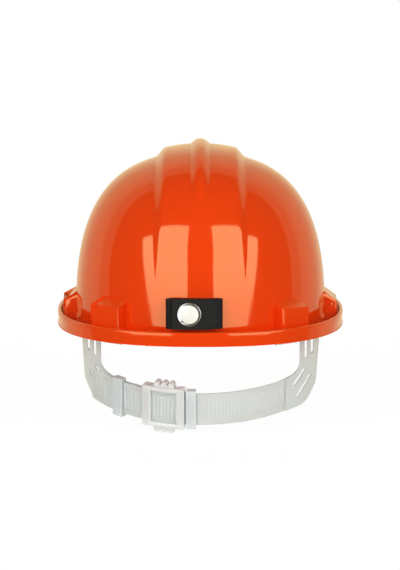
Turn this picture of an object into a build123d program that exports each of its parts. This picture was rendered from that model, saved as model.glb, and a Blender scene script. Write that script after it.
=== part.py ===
from build123d import *
import os
from math import asin, atan2, cos, degrees, radians, sin, sqrt, tan

# Miner's helmet, in millimetres.
# The origin is the middle of the wearer's head opening, level with the underside of the brim.
# The wearer looks along +Y, so the cord holder and the nape strap are at -Y. +Z is up.

os.makedirs("parts", exist_ok=True)

# Shell
shell_half_width = 102
shell_half_length = 119
crown_height = 136
crown_fullness = 2.6
wall = 3
panel_side_rise = 6
panel_end_drop = 0.6
panel_rise = 4.8
panel_top_width = 64
panel_foot_width = 76
panel_foot_height = 40
panel_edge_radius = 4
ridge_rise = 12
ridge_reach = 80
ridge_drop = 29
ridge_width = 15
ridge_edge_radius = 4

# Brim with its rain gutter, upturned lip and dipping peak
brim_side_ledge = 14.5
brim_rear_ledge = 12
peak_length = 33
brim_fullness_rear = 2.35
brim_fullness_front = 2.1
lip_height = 11.5
lip_wall = 3
gutter_floor = 3.2
peak_start = 60
peak_bend_radius = 520

# Suspension pockets, two behind and two in front
pocket_angle = 40
pocket_width = 26
pocket_proud = 11.5
pocket_front_height = 25.5
pocket_back_height = 33
pocket_depth = 22
pocket_corner = 2

# Accessory slots, one on each side
side_box_width = 32
side_box_proud = 9.5
side_box_front_height = 18.5
side_box_back_height = 27.5
side_slot_depth = 15.5

# Cap lamp bracket on the front of the shell
boss_width = 56
boss_low = 21
boss_high = 67
boss_proud = 3
boss_corner = 4
bracket_plate_width = 50
bracket_plate_height = 40
bracket_plate_thickness = 3
bracket_corner = 4
bracket_block_width = 35
bracket_block_height = 36
lamp_slot_width = 28
lamp_slot_depth = 5.2
lamp_slot_stop = 5
lamp_lip_thickness = 3
lamp_window_width = 15
lamp_window_stop = 10
rivet_column = 21
rivet_row = 12
rivet_radius = 1.6
rivet_head_radius = 3.4
rivet_head_height = 1.5
backing_plate_thickness = 1.5
backing_plate_margin = 2

# Cord holder: a folded rubber strap with a snap on the back of the shell
strap_height = 24
strap_middle_height = 25.5
strap_thickness = 1.8
strap_left = 20
strap_right = 13
cord_space = 5.5
flap_gap = 2.4
inner_flap_reach = 15
outer_flap_reach = 12
snap_offset = -7.8
snap_rim_radius = 9.6
snap_dome_radius = 7.4
snap_rim_thickness = 0.9
snap_dome_height = 1.5
snap_post_radius = 1.8
snap_ball_radius = 2.2
snap_ball_height = 1.4
snap_ball_clearance = 0.4
snap_socket_radius = 5.2
snap_socket_height = 1.9
snap_flange_thickness = 0.6
flap_corner = 8
strap_rivet_radius = 2
strap_rivet_head_radius = 4.5
strap_rivet_head_height = 1
strap_washer_radius = 6
strap_washer_thickness = 1

# Hanger keys that plug into the pockets
key_fit = 0.5
key_thickness = 5
key_top = 20.5
key_bottom = -5
key_inset = 2.5
foot_low = 9
foot_thickness = 3
foot_width = 26
neck_width = 19
foot_neck_setback = 3.5
tab_thickness = 1.8
tab_width = 12
tab_low = 0
band_stud_height = 4.5

# Headband and brow pad
band_side_space = 15
band_end_space = 17
band_thickness = 1.2
band_low = -8
band_high = 18
band_gap_angle = 26
pad_thickness = 3
pad_margin = 2
pad_half_angle = 33

# Crown straps
webbing_width = 20
webbing_thickness = 1.3
webbing_setback = 7
webbing_crown_space = 37
webbing_hem_thickness = 3
webbing_hem_height = 2.4
crown_rivet_radius = 2.2
crown_rivet_head_radius = 6

# Nape strap, all round one axis that leans back
nape_lean = 15
nape_height = -32.3
nape_shift = 5
nape_side_space = 0.5
nape_thickness = 1.6
nape_strap_height = 27.6
tongue_core = 1.2
tongue_rib_height = 0.5
tongue_rib_pitch_angle = 1.75
tongue_rib_share = 0.5
tongue_rib_band = 17
tongue_start_angle = -44
tongue_end_angle = 62.5
layer_gap = 0.3
arm_stud_height = -1
arm_outer_inset = 1.5
arm_width = 16.5
arm_shoulder_level = 27
arm_bend_inset = 4
arm_bend_level = -6
arm_heel_inset = 12.5
arm_heel_level = -16
arm_corner_level = 14.5
arm_tab_margin = 6
arm_tab_outer_inset = 16.5
arm_tab_height = 9.3
arm_rounding = 8
arm_slit_width = 1.6
arm_slit_inset = 5.1
arm_slit_spacing = 5.2
arm_slit_low = 23
arm_slit_length = 17
corner_slit_width = 2.8
corner_slit_inset = 0.5
corner_slit_level = 9.5
corner_slit_length = 11
corner_slit_angle = 46
corner_slit_shift = 3.6
corner_slit_drop = 10.4
corner_slit_growth = 4.5

# Adjuster on the left end of the nape strap
ring_wall = 1.5
ring_cheek = 2.4
guide_loop_start = 39
guide_loop_end = 44.5
collar_start = 2
collar_end = 6.6
buckle_start = 7.4
buckle_end = 27.8
buckle_bar_near = 3.6
buckle_bar_far = 4.2
buckle_half_height = 17.5
pawl_window_start = 11.8
pawl_window_end = 22.6
pawl_window_margin = 3
pawl_plate = 2
pawl_tooth_count = 3
pawl_tooth_height = 0.6
pawl_tooth_gap = 0.8
pawl_tooth_share = 0.5
grip_half_height = 22
grip_hump_radius = 2.6
grip_hump_count = 3
grip_depth = 7.4

# Fits and common values
seat = 0.3
running_fit = 0.05
stud_radius = 2
stud_head_radius = 3.6
stud_head_height = 0.8
stud_bite = 3
overrun = 30
hinge_clearance = 0.3

SIDES = {"left": -1, "right": 1}
ENDS = {"rear": -1, "front": 1}

# Overall sizes that follow from the shell and what stands out from it
panel_half_width = shell_half_width + panel_side_rise
panel_half_length = shell_half_length - panel_end_drop
panel_height = crown_height + panel_rise
ridge_height = crown_height + ridge_rise
inner_half_width = shell_half_width - wall
inner_half_length = shell_half_length - wall
brim_half_width = shell_half_width + brim_side_ledge
brim_rear = shell_half_length + brim_rear_ledge
brim_front = shell_half_length + peak_length
side_box_reach = shell_half_width + side_box_proud
band_half_width = inner_half_width - band_side_space
band_half_length = inner_half_length - band_end_space
webbing_apex = crown_height - wall - webbing_crown_space
nape_radius = inner_half_width - nape_side_space


def power_point(turn, fullness):
    """Point of a super-ellipse with half axes of one, turn in degrees from its second axis."""
    across = sin(radians(turn))
    along = cos(radians(turn))
    x = abs(across) ** (2 / fullness) * (1 if across > 0 else -1)
    y = abs(along) ** (2 / fullness) * (1 if along > 0 else -1)
    return (x, y)


def radial_plane(angle):
    """Upright plane through the axis: its x runs outward at the angle, its y runs up."""
    outward = (cos(radians(angle)), sin(radians(angle)), 0)
    return Plane(origin=(0, 0, 0), x_dir=outward, z_dir=(outward[1], -outward[0], 0))


def half_dome(half_width, half_length, height):
    """Full-shouldered quarter egg on the wearer's right: a unit profile turned and stretched."""
    steps = 12
    points = [power_point(90 * step / steps, crown_fullness) for step in range(steps + 1)]
    with BuildPart() as unit:
        with BuildSketch(radial_plane(-90)):
            with BuildLine():
                Spline(*points, tangents=((1, 0), (0, -1)))
                Polyline(points[-1], (0, 0), points[0])
            make_face()
        revolve(axis=Axis.Z, revolution_arc=180)
    return scale(unit.part, by=(half_width, half_length, height))


def half_crown(inset):
    """Right half of the crown with its raised panel and ridge, drawn in by the inset."""
    base = half_dome(shell_half_width - inset, shell_half_length - inset, crown_height - inset)
    raised = half_dome(panel_half_width - inset, panel_half_length - inset, panel_height - inset)
    foot = panel_foot_width / 2 - inset
    top = panel_top_width / 2 - inset
    with BuildPart() as panel:
        with BuildSketch(Plane.XZ):
            Polygon(
                (0, panel_foot_height),
                (foot, panel_foot_height),
                (top, ridge_height),
                (0, ridge_height),
                align=None,
            )
        extrude(amount=brim_front, both=True)
        add(raised, mode=Mode.INTERSECT)
        if not inset:
            curved = panel.edges().filter_by(GeomType.LINE, reverse=True)
            shoulders = curved.filter_by(
                lambda edge: edge.center().X > top / 2 and edge.center().Z > panel_foot_height + wall
            )
            fillet(shoulders, panel_edge_radius)
    ridge_top = ridge_height - inset
    ridge_foot = ridge_top - ridge_drop
    with BuildPart() as ridge:
        with BuildSketch(Plane.YZ):
            with BuildLine():
                ThreePointArc((-ridge_reach, ridge_foot), (0, ridge_top), (ridge_reach, ridge_foot))
                Line((-ridge_reach, ridge_foot), (ridge_reach, ridge_foot))
            make_face()
        extrude(amount=ridge_width / 2 - inset)
        if not inset:
            fillet(ridge.edges().filter_by(GeomType.CIRCLE).sort_by(Axis.X)[-1], ridge_edge_radius)
    with BuildPart() as form:
        add(base)
        add(panel.part)
        add(ridge.part)
    return form.part


def plan_outline(inset):
    """Face with the right half of the brim's outline, drawn in by the inset."""
    steps = 8
    points = []
    for step in range(2 * steps + 1):
        turn = 180 - 90 * step / steps
        is_front = step > steps
        x, y = power_point(turn, brim_fullness_front if is_front else brim_fullness_rear)
        length = brim_front if is_front else brim_rear
        points.append((x * (brim_half_width - inset), y * (length - inset)))
    with BuildSketch() as outline:
        with BuildLine():
            Spline(*points, tangents=((1, 0), (-1, 0)), tangent_scalars=(1, 1))
            Line(points[-1], points[0])
        make_face()
    return outline.sketch


def side_band(low, high):
    """Long slab between two side lines of the brim: level behind, then a slow dip to the peak."""
    run = brim_front + overrun
    drop = peak_bend_radius - sqrt(peak_bend_radius**2 - (run - peak_start) ** 2)
    with BuildPart() as band:
        with BuildSketch(Plane.YZ):
            with BuildLine():
                Line((-run, low), (peak_start, low))
                TangentArc((peak_start, low), (run, low - drop), tangent=(1, 0))
                Line((run, low - drop), (run, high - drop))
                TangentArc((peak_start, high), (run, high - drop), tangent=(1, 0))
                Line((peak_start, high), (-run, high))
                Line((-run, high), (-run, low))
            make_face()
        extrude(amount=run, both=True)
    return band.part


def brim_layer(inset, low, high):
    """Right half of the brim's outline between two heights over its side line."""
    outline = plan_outline(inset)
    band = side_band(low, high)
    with BuildPart() as layer:
        with BuildSketch(Plane.XY.offset(-overrun)):
            add(outline)
        extrude(amount=2 * overrun)
        add(band, mode=Mode.INTERSECT)
    return layer.part


def facing_plane(angle, reach, height):
    """Upright plane square to the outward direction: its x runs round, its y runs up."""
    outward = (cos(radians(angle)), sin(radians(angle)), 0)
    origin = (outward[0] * reach, outward[1] * reach, height)
    return Plane(origin=origin, x_dir=(-outward[1], outward[0], 0), z_dir=outward)


def corner_angle(side, end):
    """Direction of a pocket, measured from +X."""
    return degrees(atan2(end * cos(radians(pocket_angle)), side * sin(radians(pocket_angle))))


def ellipse_reach(half_width, half_length, angle, offset):
    """How far out an ellipse lies along a direction, at a sideways offset from it."""
    c, s = cos(radians(angle)), sin(radians(angle))
    a = (c / half_width) ** 2 + (s / half_length) ** 2
    b = 2 * offset * c * s * (1 / half_length**2 - 1 / half_width**2)
    d = offset**2 * ((s / half_width) ** 2 + (c / half_length) ** 2) - 1
    return (-b + sqrt(b * b - 4 * a * d)) / (2 * a)


def crown_reach(half_length, height, level):
    """How far a crown profile reaches along Y at a level."""
    return half_length * (1 - (level / height) ** crown_fullness) ** (1 / crown_fullness)


def wedge_block(angle, width, reach, front_height, back_height, back_reach):
    """Block on the shell's flank with a sloping top."""
    with BuildPart() as block:
        with BuildSketch(radial_plane(angle)):
            Polygon(
                (back_reach, 0),
                (reach, 0),
                (reach, front_height),
                (back_reach, back_height),
                align=None,
            )
        extrude(amount=width / 2, both=True)
        outward = Axis((0, 0, 0), (cos(radians(angle)), sin(radians(angle)), 0))
        outer_face = block.faces().sort_by(outward)[-1]
        fillet(outer_face.edges().filter_by(Axis.Z), pocket_corner)
    return block.part


def hollow_block(angle, width, near, far, top):
    """Upright hollow, open downward, between two reaches along a direction."""
    with BuildPart() as hollow:
        with BuildSketch(radial_plane(angle)):
            Polygon((near, -overrun), (far, -overrun), (far, top), (near, top), align=None)
        extrude(amount=width / 2, both=True)
    return hollow.part


# Places worked out from the sizes
key_angle_right = corner_angle(SIDES["right"], ENDS["front"])
pocket_reach = ellipse_reach(shell_half_width, shell_half_length, key_angle_right, 0) + pocket_proud
boss_low_reach = max(
    crown_reach(shell_half_length, crown_height, boss_low),
    crown_reach(panel_half_length, panel_height, boss_low),
) + boss_proud
boss_high_reach = max(
    crown_reach(shell_half_length, crown_height, boss_high),
    crown_reach(panel_half_length, panel_height, boss_high),
) + boss_proud
boss_lean = degrees(atan2(boss_low_reach - boss_high_reach, boss_high - boss_low))
boss_face = Plane(
    origin=(0, (boss_low_reach + boss_high_reach) / 2, (boss_low + boss_high) / 2),
    x_dir=(-1, 0, 0),
    z_dir=(0, cos(radians(boss_lean)), sin(radians(boss_lean))),
)
boss_height = (boss_high - boss_low) / cos(radians(boss_lean))
rivet_places = [(x, y) for x in (-rivet_column, rivet_column) for y in (-rivet_row, rivet_row)]

strap_low = strap_middle_height - strap_height / 2
strap_high = strap_middle_height + strap_height / 2
strap_low_reach = crown_reach(shell_half_length, crown_height, strap_low)
strap_high_reach = crown_reach(shell_half_length, crown_height, strap_high)
strap_lean = degrees(atan2(strap_low_reach - strap_high_reach, strap_height))
strap_reach = crown_reach(shell_half_length, crown_height, strap_middle_height)
strap_section = Plane(
    origin=(0, -strap_reach, strap_middle_height),
    x_dir=(1, 0, 0),
    z_dir=(0, sin(radians(strap_lean)), cos(radians(strap_lean))),
)


# Shell, modelled as its right half and mirrored
boss_depth = boss_proud + wall * 3
with BuildPart() as boss:
    with BuildSketch(boss_face):
        RectangleRounded(boss_width, boss_height, boss_corner)
    extrude(amount=-boss_depth)
    split(bisect_by=Plane.YZ)
with BuildPart() as boss_hollow:
    with BuildSketch(boss_face.offset(-wall)):
        Rectangle(boss_width - 2 * wall, boss_height - 2 * wall)
    extrude(amount=-overrun)
    split(bisect_by=Plane.YZ)

flank_blocks = []
flank_hollows = []
for end in ENDS.values():
    angle = corner_angle(SIDES["right"], end)
    flank_blocks.append(
        wedge_block(
            angle, pocket_width, pocket_reach, pocket_front_height, pocket_back_height, inner_half_width
        )
    )
    flank_hollows.append(
        hollow_block(angle, pocket_width - 2 * wall, inner_half_width, pocket_reach - wall, pocket_depth)
    )
flank_blocks.append(
    wedge_block(
        0, side_box_width, side_box_reach, side_box_front_height, side_box_back_height, inner_half_width
    )
)
flank_hollows.append(
    hollow_block(0, side_box_width - 2 * wall, shell_half_width, side_box_reach - wall, side_slot_depth)
)

brim_depth = side_band(0, lip_height)
with BuildPart() as skirt:
    with BuildSketch(Plane.XY):
        Ellipse(shell_half_width, shell_half_length)
    extrude(amount=-overrun)
    add(brim_depth, mode=Mode.INTERSECT)
    split(bisect_by=Plane.YZ)

with BuildPart() as head_opening:
    with BuildSketch(Plane.XY):
        Ellipse(inner_half_width, inner_half_length)
    extrude(amount=-overrun)

brim = brim_layer(0, 0, lip_height)
gutter = brim_layer(lip_wall, gutter_floor, lip_height + overrun)
crown_outside = half_crown(0)
crown_inside = half_crown(wall)
with BuildPart() as shell:
    add(brim)
    add(gutter, mode=Mode.SUBTRACT)
    add(skirt.part)
    add(crown_outside)
    add(boss.part)
    for block in flank_blocks:
        add(block)
    add(head_opening.part, mode=Mode.SUBTRACT)
    add(crown_inside, mode=Mode.SUBTRACT)
    add(boss_hollow.part, mode=Mode.SUBTRACT)
    for hollow in flank_hollows:
        add(hollow, mode=Mode.SUBTRACT)
    with BuildSketch(boss_face):
        with Locations(*[place for place in rivet_places if place[0] < 0]):
            Circle(rivet_radius + running_fit)
    extrude(amount=-2 * wall, mode=Mode.SUBTRACT)
    with BuildSketch(Plane(strap_section.origin, x_dir=(1, 0, 0), z_dir=strap_section.y_dir)):
        Circle(strap_rivet_radius + running_fit)
    extrude(amount=2 * wall, both=True, mode=Mode.SUBTRACT)
    mirror(about=Plane.YZ)
shell.part.label = "shell"
export_step(shell.part, "parts/shell.step")


# Cap lamp bracket: a slotted holder riveted to the front, with a plate behind it
with BuildPart() as lamp_bracket:
    with BuildSketch(boss_face):
        RectangleRounded(bracket_plate_width, bracket_plate_height, bracket_corner)
    extrude(amount=bracket_plate_thickness)
    with BuildSketch(boss_face.offset(bracket_plate_thickness)):
        Rectangle(bracket_block_width, bracket_block_height)
    extrude(amount=lamp_slot_depth + lamp_lip_thickness)
    block_top = lamp_bracket.faces().sort_by(Axis.Y)[-1]
    fillet(block_top.edges(), lamp_lip_thickness / 2)
    slot_height = bracket_block_height - lamp_slot_stop
    with BuildSketch(boss_face.offset(bracket_plate_thickness)):
        with Locations((0, lamp_slot_stop / 2 + overrun / 2)):
            Rectangle(lamp_slot_width, slot_height + overrun)
    extrude(amount=lamp_slot_depth, mode=Mode.SUBTRACT)
    window_height = bracket_block_height - lamp_window_stop
    with BuildSketch(boss_face.offset(bracket_plate_thickness + lamp_slot_depth)):
        with Locations((0, lamp_window_stop / 2 + overrun / 2)):
            Rectangle(lamp_window_width, window_height + overrun)
    extrude(amount=overrun, mode=Mode.SUBTRACT)
    with BuildSketch(boss_face):
        with Locations(*rivet_places):
            Circle(rivet_radius + running_fit)
    extrude(amount=bracket_plate_thickness, mode=Mode.SUBTRACT)
lamp_bracket.part.label = "lamp_bracket"
export_step(lamp_bracket.part, "parts/lamp_bracket.step")

with BuildPart() as backing_plate:
    with BuildSketch(boss_face.offset(-wall)):
        RectangleRounded(
            boss_width - 2 * wall - 2 * backing_plate_margin,
            boss_height - 2 * wall - 2 * backing_plate_margin,
            bracket_corner,
        )
        with Locations(*rivet_places):
            Circle(rivet_radius + running_fit, mode=Mode.SUBTRACT)
    extrude(amount=-backing_plate_thickness)
backing_plate.part.label = "bracket_backing_plate"
export_step(backing_plate.part, "parts/bracket_backing_plate.step")

rivet_grip = bracket_plate_thickness + wall + backing_plate_thickness
with BuildPart() as bracket_rivets:
    with BuildSketch(boss_face.offset(bracket_plate_thickness)):
        with Locations(*rivet_places):
            Circle(rivet_head_radius)
    extrude(amount=rivet_head_height, taper=30)
    with BuildSketch(boss_face.offset(bracket_plate_thickness)):
        with Locations(*rivet_places):
            Circle(rivet_radius)
    extrude(amount=-rivet_grip)
    with BuildSketch(boss_face.offset(bracket_plate_thickness - rivet_grip)):
        with Locations(*rivet_places):
            Circle(rivet_head_radius)
    extrude(amount=-rivet_head_height / 2)
bracket_rivets.part.label = "bracket_rivets"
export_step(bracket_rivets.part, "parts/bracket_rivets.step")


# Cord holder: the strip lies on the shell, folds round at both ends and snaps shut
wall_radius = shell_half_width**2 / shell_half_length
base_inner = wall_radius + seat
base_outer = base_inner + strap_thickness
inner_flap_inner = base_outer + cord_space
inner_flap_outer = inner_flap_inner + strap_thickness
outer_flap_inner = inner_flap_outer + flap_gap
outer_flap_outer = outer_flap_inner + strap_thickness
strap_center = (0, wall_radius)


def turned_point(radius, reach):
    """Point at a radius about the middle of the wall's curve, a sideways reach from the middle."""
    angle = asin(reach / base_outer)
    return (radius * sin(angle), wall_radius - radius * cos(angle))


def flap_angle(reach):
    """Direction of that point from the middle of the wall's curve, in degrees from local x."""
    return degrees(asin(reach / base_outer)) - 90


def arc_band(center, inner, outer, start, sweep):
    """Flat ring sector between two radii."""
    with BuildSketch() as band:
        with BuildLine():
            near = CenterArc(center, inner, start, sweep)
            far = CenterArc(center, outer, start, sweep)
            Line(near @ 0, far @ 0)
            Line(near @ 1, far @ 1)
        make_face()
    return band.sketch


left_fold_radius = (outer_flap_inner - base_outer) / 2
right_fold_radius = cord_space / 2
left_fold_center = turned_point(base_outer + left_fold_radius, -strap_left)
right_fold_center = turned_point(base_outer + right_fold_radius, strap_right)
left_angle = flap_angle(-strap_left)
right_angle = flap_angle(strap_right)
inner_flap_angle = flap_angle(-inner_flap_reach)
outer_flap_angle = flap_angle(outer_flap_reach)
hinge_radius = strap_thickness / 2
hinge_point = turned_point(outer_flap_inner + hinge_radius, -strap_left)
hinge_gap_angle = degrees((hinge_radius + hinge_clearance) / (left_fold_radius + hinge_radius))


def strap_plane(radius, reach):
    """Plane on a layer of the holder, facing outward, its y running up the wall."""
    x, y = turned_point(radius, reach)
    origin = strap_section.from_local_coords(Vector(x, y, 0))
    middle = strap_section.from_local_coords(Vector(0, wall_radius, 0))
    outward = (origin - middle).normalized()
    return Plane(origin=origin, x_dir=strap_section.z_dir.cross(outward), z_dir=outward)


snap_on_cap = strap_plane(outer_flap_outer + running_fit, snap_offset)
snap_in_flap = strap_plane(outer_flap_inner, snap_offset)
stud_on_flap = strap_plane(inner_flap_outer + running_fit, snap_offset)
rivet_on_base = strap_plane(base_outer + running_fit, 0)

fixed_layers = [
    arc_band(strap_center, base_inner, base_outer, left_angle, right_angle - left_angle),
    arc_band(right_fold_center, right_fold_radius, right_fold_radius + strap_thickness, right_angle, 180),
    arc_band(
        left_fold_center,
        left_fold_radius,
        left_fold_radius + strap_thickness,
        left_angle - 180,
        180 - hinge_gap_angle,
    ),
    arc_band(
        strap_center, inner_flap_inner, inner_flap_outer, inner_flap_angle, right_angle - inner_flap_angle
    ),
]
with BuildPart() as cord_strap:
    with BuildSketch(strap_section):
        for layer in fixed_layers:
            add(layer)
    extrude(amount=strap_height / 2, both=True)
    with BuildSketch(rivet_on_base):
        Circle(strap_rivet_radius + running_fit)
    extrude(amount=-strap_thickness - overrun / 2, mode=Mode.SUBTRACT)
    with BuildSketch(stud_on_flap):
        Circle(snap_post_radius + running_fit)
    extrude(amount=-strap_thickness - cord_space / 2, mode=Mode.SUBTRACT)
cord_strap.part.label = "cord_strap"
export_step(cord_strap.part, "parts/cord_strap.step")

outer_layer = arc_band(
    strap_center, outer_flap_inner, outer_flap_outer, left_angle, outer_flap_angle - left_angle
)
with BuildPart() as cord_flap:
    with BuildSketch(strap_section):
        add(outer_layer)
        with Locations(hinge_point):
            Circle(hinge_radius)
    extrude(amount=strap_height / 2, both=True)
    tip = cord_flap.faces().sort_by(Axis.X)[-1]
    tip_corners = tip.edges().sort_by(Axis.Z)
    fillet([tip_corners[0], tip_corners[-1]], flap_corner)
    with BuildSketch(snap_on_cap):
        Circle(snap_post_radius + running_fit)
    extrude(amount=-2 * strap_thickness, mode=Mode.SUBTRACT)
cord_flap.part.label = "cord_flap"
export_step(cord_flap.part, "parts/cord_flap.step")

with BuildPart() as snap_cap:
    with BuildSketch(snap_on_cap):
        Circle(snap_rim_radius)
    extrude(amount=snap_rim_thickness)
    rim_edge = snap_cap.faces().filter_by(GeomType.PLANE).sort_by(Axis.Y)[0].edges()
    fillet(rim_edge, snap_rim_thickness / 2)
    dome_radius = (snap_dome_radius**2 + snap_dome_height**2) / (2 * snap_dome_height)
    with BuildSketch(Plane(snap_on_cap.origin, x_dir=snap_on_cap.x_dir, z_dir=-snap_on_cap.y_dir)):
        with BuildLine():
            foot = snap_rim_thickness / 2
            crest = snap_rim_thickness + snap_dome_height
            Line((0, foot), (snap_dome_radius, foot))
            Line((snap_dome_radius, foot), (snap_dome_radius, snap_rim_thickness))
            RadiusArc((snap_dome_radius, snap_rim_thickness), (0, crest), -dome_radius)
            Line((0, crest), (0, foot))
        make_face()
    revolve(axis=Axis(snap_on_cap.origin, snap_on_cap.z_dir))
    with BuildSketch(snap_on_cap):
        Circle(snap_post_radius)
    extrude(amount=-strap_thickness)
snap_cap.part.label = "snap_cap"
export_step(snap_cap.part, "parts/snap_cap.step")

socket_sag = snap_socket_radius**2 / (2 * outer_flap_inner) + running_fit
with BuildPart() as snap_socket:
    with BuildSketch(snap_in_flap.offset(-socket_sag)):
        Circle(snap_socket_radius)
    extrude(amount=-snap_socket_height)
    with BuildSketch(snap_in_flap.offset(-socket_sag - snap_socket_height)):
        Circle(snap_ball_radius + snap_ball_clearance)
    extrude(amount=snap_ball_height, mode=Mode.SUBTRACT)
snap_socket.part.label = "snap_socket"
export_step(snap_socket.part, "parts/snap_socket.step")

flange_sag = snap_socket_radius**2 / (2 * inner_flap_inner) + 2 * running_fit
with BuildPart() as snap_stud:
    with BuildSketch(stud_on_flap):
        Circle(snap_ball_radius)
    extrude(amount=snap_ball_height)
    with BuildSketch(stud_on_flap.offset(-running_fit - strap_thickness - flange_sag)):
        Circle(snap_post_radius)
    extrude(amount=running_fit + strap_thickness + flange_sag)
    with BuildSketch(stud_on_flap.offset(-running_fit - strap_thickness - flange_sag)):
        Circle(snap_socket_radius)
    extrude(amount=-snap_flange_thickness)
snap_stud.part.label = "snap_stud"
export_step(snap_stud.part, "parts/snap_stud.step")

washer_sag = strap_washer_radius**2 / (2 * (wall_radius - wall)) + running_fit
washer_depth = base_outer - wall_radius + running_fit + wall + washer_sag
tail_depth = washer_depth + strap_washer_thickness
with BuildPart() as strap_rivet:
    with BuildSketch(rivet_on_base):
        Circle(strap_rivet_head_radius)
    extrude(amount=strap_rivet_head_height, taper=30)
    with BuildSketch(rivet_on_base):
        Circle(strap_rivet_radius)
    extrude(amount=-tail_depth)
    with BuildSketch(rivet_on_base.offset(-tail_depth)):
        Circle(strap_rivet_head_radius)
    extrude(amount=-strap_rivet_head_height)
strap_rivet.part.label = "cord_strap_rivet"
export_step(strap_rivet.part, "parts/cord_strap_rivet.step")

with BuildPart() as strap_washer:
    with BuildSketch(rivet_on_base.offset(-washer_depth)):
        Circle(strap_washer_radius)
        Circle(strap_rivet_radius + running_fit, mode=Mode.SUBTRACT)
    extrude(amount=-strap_washer_thickness)
strap_washer.part.label = "cord_strap_washer"
export_step(strap_washer.part, "parts/cord_strap_washer.step")


# Hanger keys: a lug in each pocket, a slotted foot for the webbing and a tab for the headband
band_outer_half_width = band_half_width + band_thickness
band_outer_half_length = band_half_length + band_thickness
key_outer = pocket_reach - wall - key_fit
key_inner = key_outer - key_thickness
plate_inner = ellipse_reach(inner_half_width, inner_half_length, key_angle_right, 0) - key_inset
foot_neck_reach = plate_inner - foot_neck_setback
webbing_reach = plate_inner - webbing_setback
tab_inner = seat + max(
    ellipse_reach(band_outer_half_width, band_outer_half_length, key_angle_right, offset)
    for offset in (-tab_width / 2, tab_width / 2)
)
foot_inner = tab_inner + tab_thickness / 2
webbing_end = foot_low - seat - webbing_hem_height
foot_middle = foot_low + foot_thickness / 2
slot_depth = webbing_thickness + 3 * seat
lug_half_width = pocket_width / 2 - wall - key_fit

# Nape strap frame: its axis leans back, local y runs forward and local z up
nape = Plane(
    origin=(0, nape_shift, nape_height),
    x_dir=(1, 0, 0),
    z_dir=(0, -sin(radians(nape_lean)), cos(radians(nape_lean))),
)
tongue_inner = nape_radius - tongue_core / 2
arm_inner = {
    "right": nape_radius - nape_thickness / 2,
    "left": tongue_inner - tongue_rib_height - layer_gap - nape_thickness,
}
arm_stud_levels = (arm_stud_height - stud_head_radius, arm_stud_height + stud_head_radius)
arm_outer_reach = nape_radius - arm_outer_inset
arm_inner_reach = arm_outer_reach - arm_width
arm_bend_reach = nape_radius - arm_bend_inset
arm_heel_reach = nape_radius - arm_heel_inset
arm_tab_outer_reach = nape_radius - arm_tab_outer_inset
arm_slit_reach = arm_inner_reach + arm_slit_inset
corner_slit_reach = arm_inner_reach - corner_slit_inset


def nape_reach(radius, side, level):
    """Where the nape cylinder crosses a rear key's middle line: its reach along that line."""
    angle = corner_angle(SIDES[side], ENDS["rear"])
    across = cos(radians(angle))
    along = sin(radians(angle))
    lean = radians(nape_lean)
    # A point n outward at this level lies n * along * cos(lean) + start forward in the nape frame.
    start = (level - nape_height) * sin(lean) - nape_shift * cos(lean)
    a = across**2 + (along * cos(lean)) ** 2
    b = 2 * along * cos(lean) * start
    c = start**2 - radius**2
    return (-b + sqrt(b * b - 4 * a * c)) / (2 * a)


stud_reach = nape_reach(nape_radius, "right", arm_stud_height)
stud_place = nape.to_local_coords(facing_plane(corner_angle(1, -1), stud_reach, arm_stud_height).origin)
arm_tab_inner_reach = stud_place.X - arm_tab_margin
arm_tab_low = stud_place.Z - arm_tab_height / 2
arm_tab_high = stud_place.Z + arm_tab_height / 2


def webbing_at(level):
    """How far out the webbing hangs at a level: an arc through both ends and the top."""
    rise = webbing_apex - webbing_end
    radius = (webbing_reach**2 + rise**2) / (2 * rise)
    return sqrt(radius**2 - (level - webbing_apex + radius) ** 2)


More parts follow.
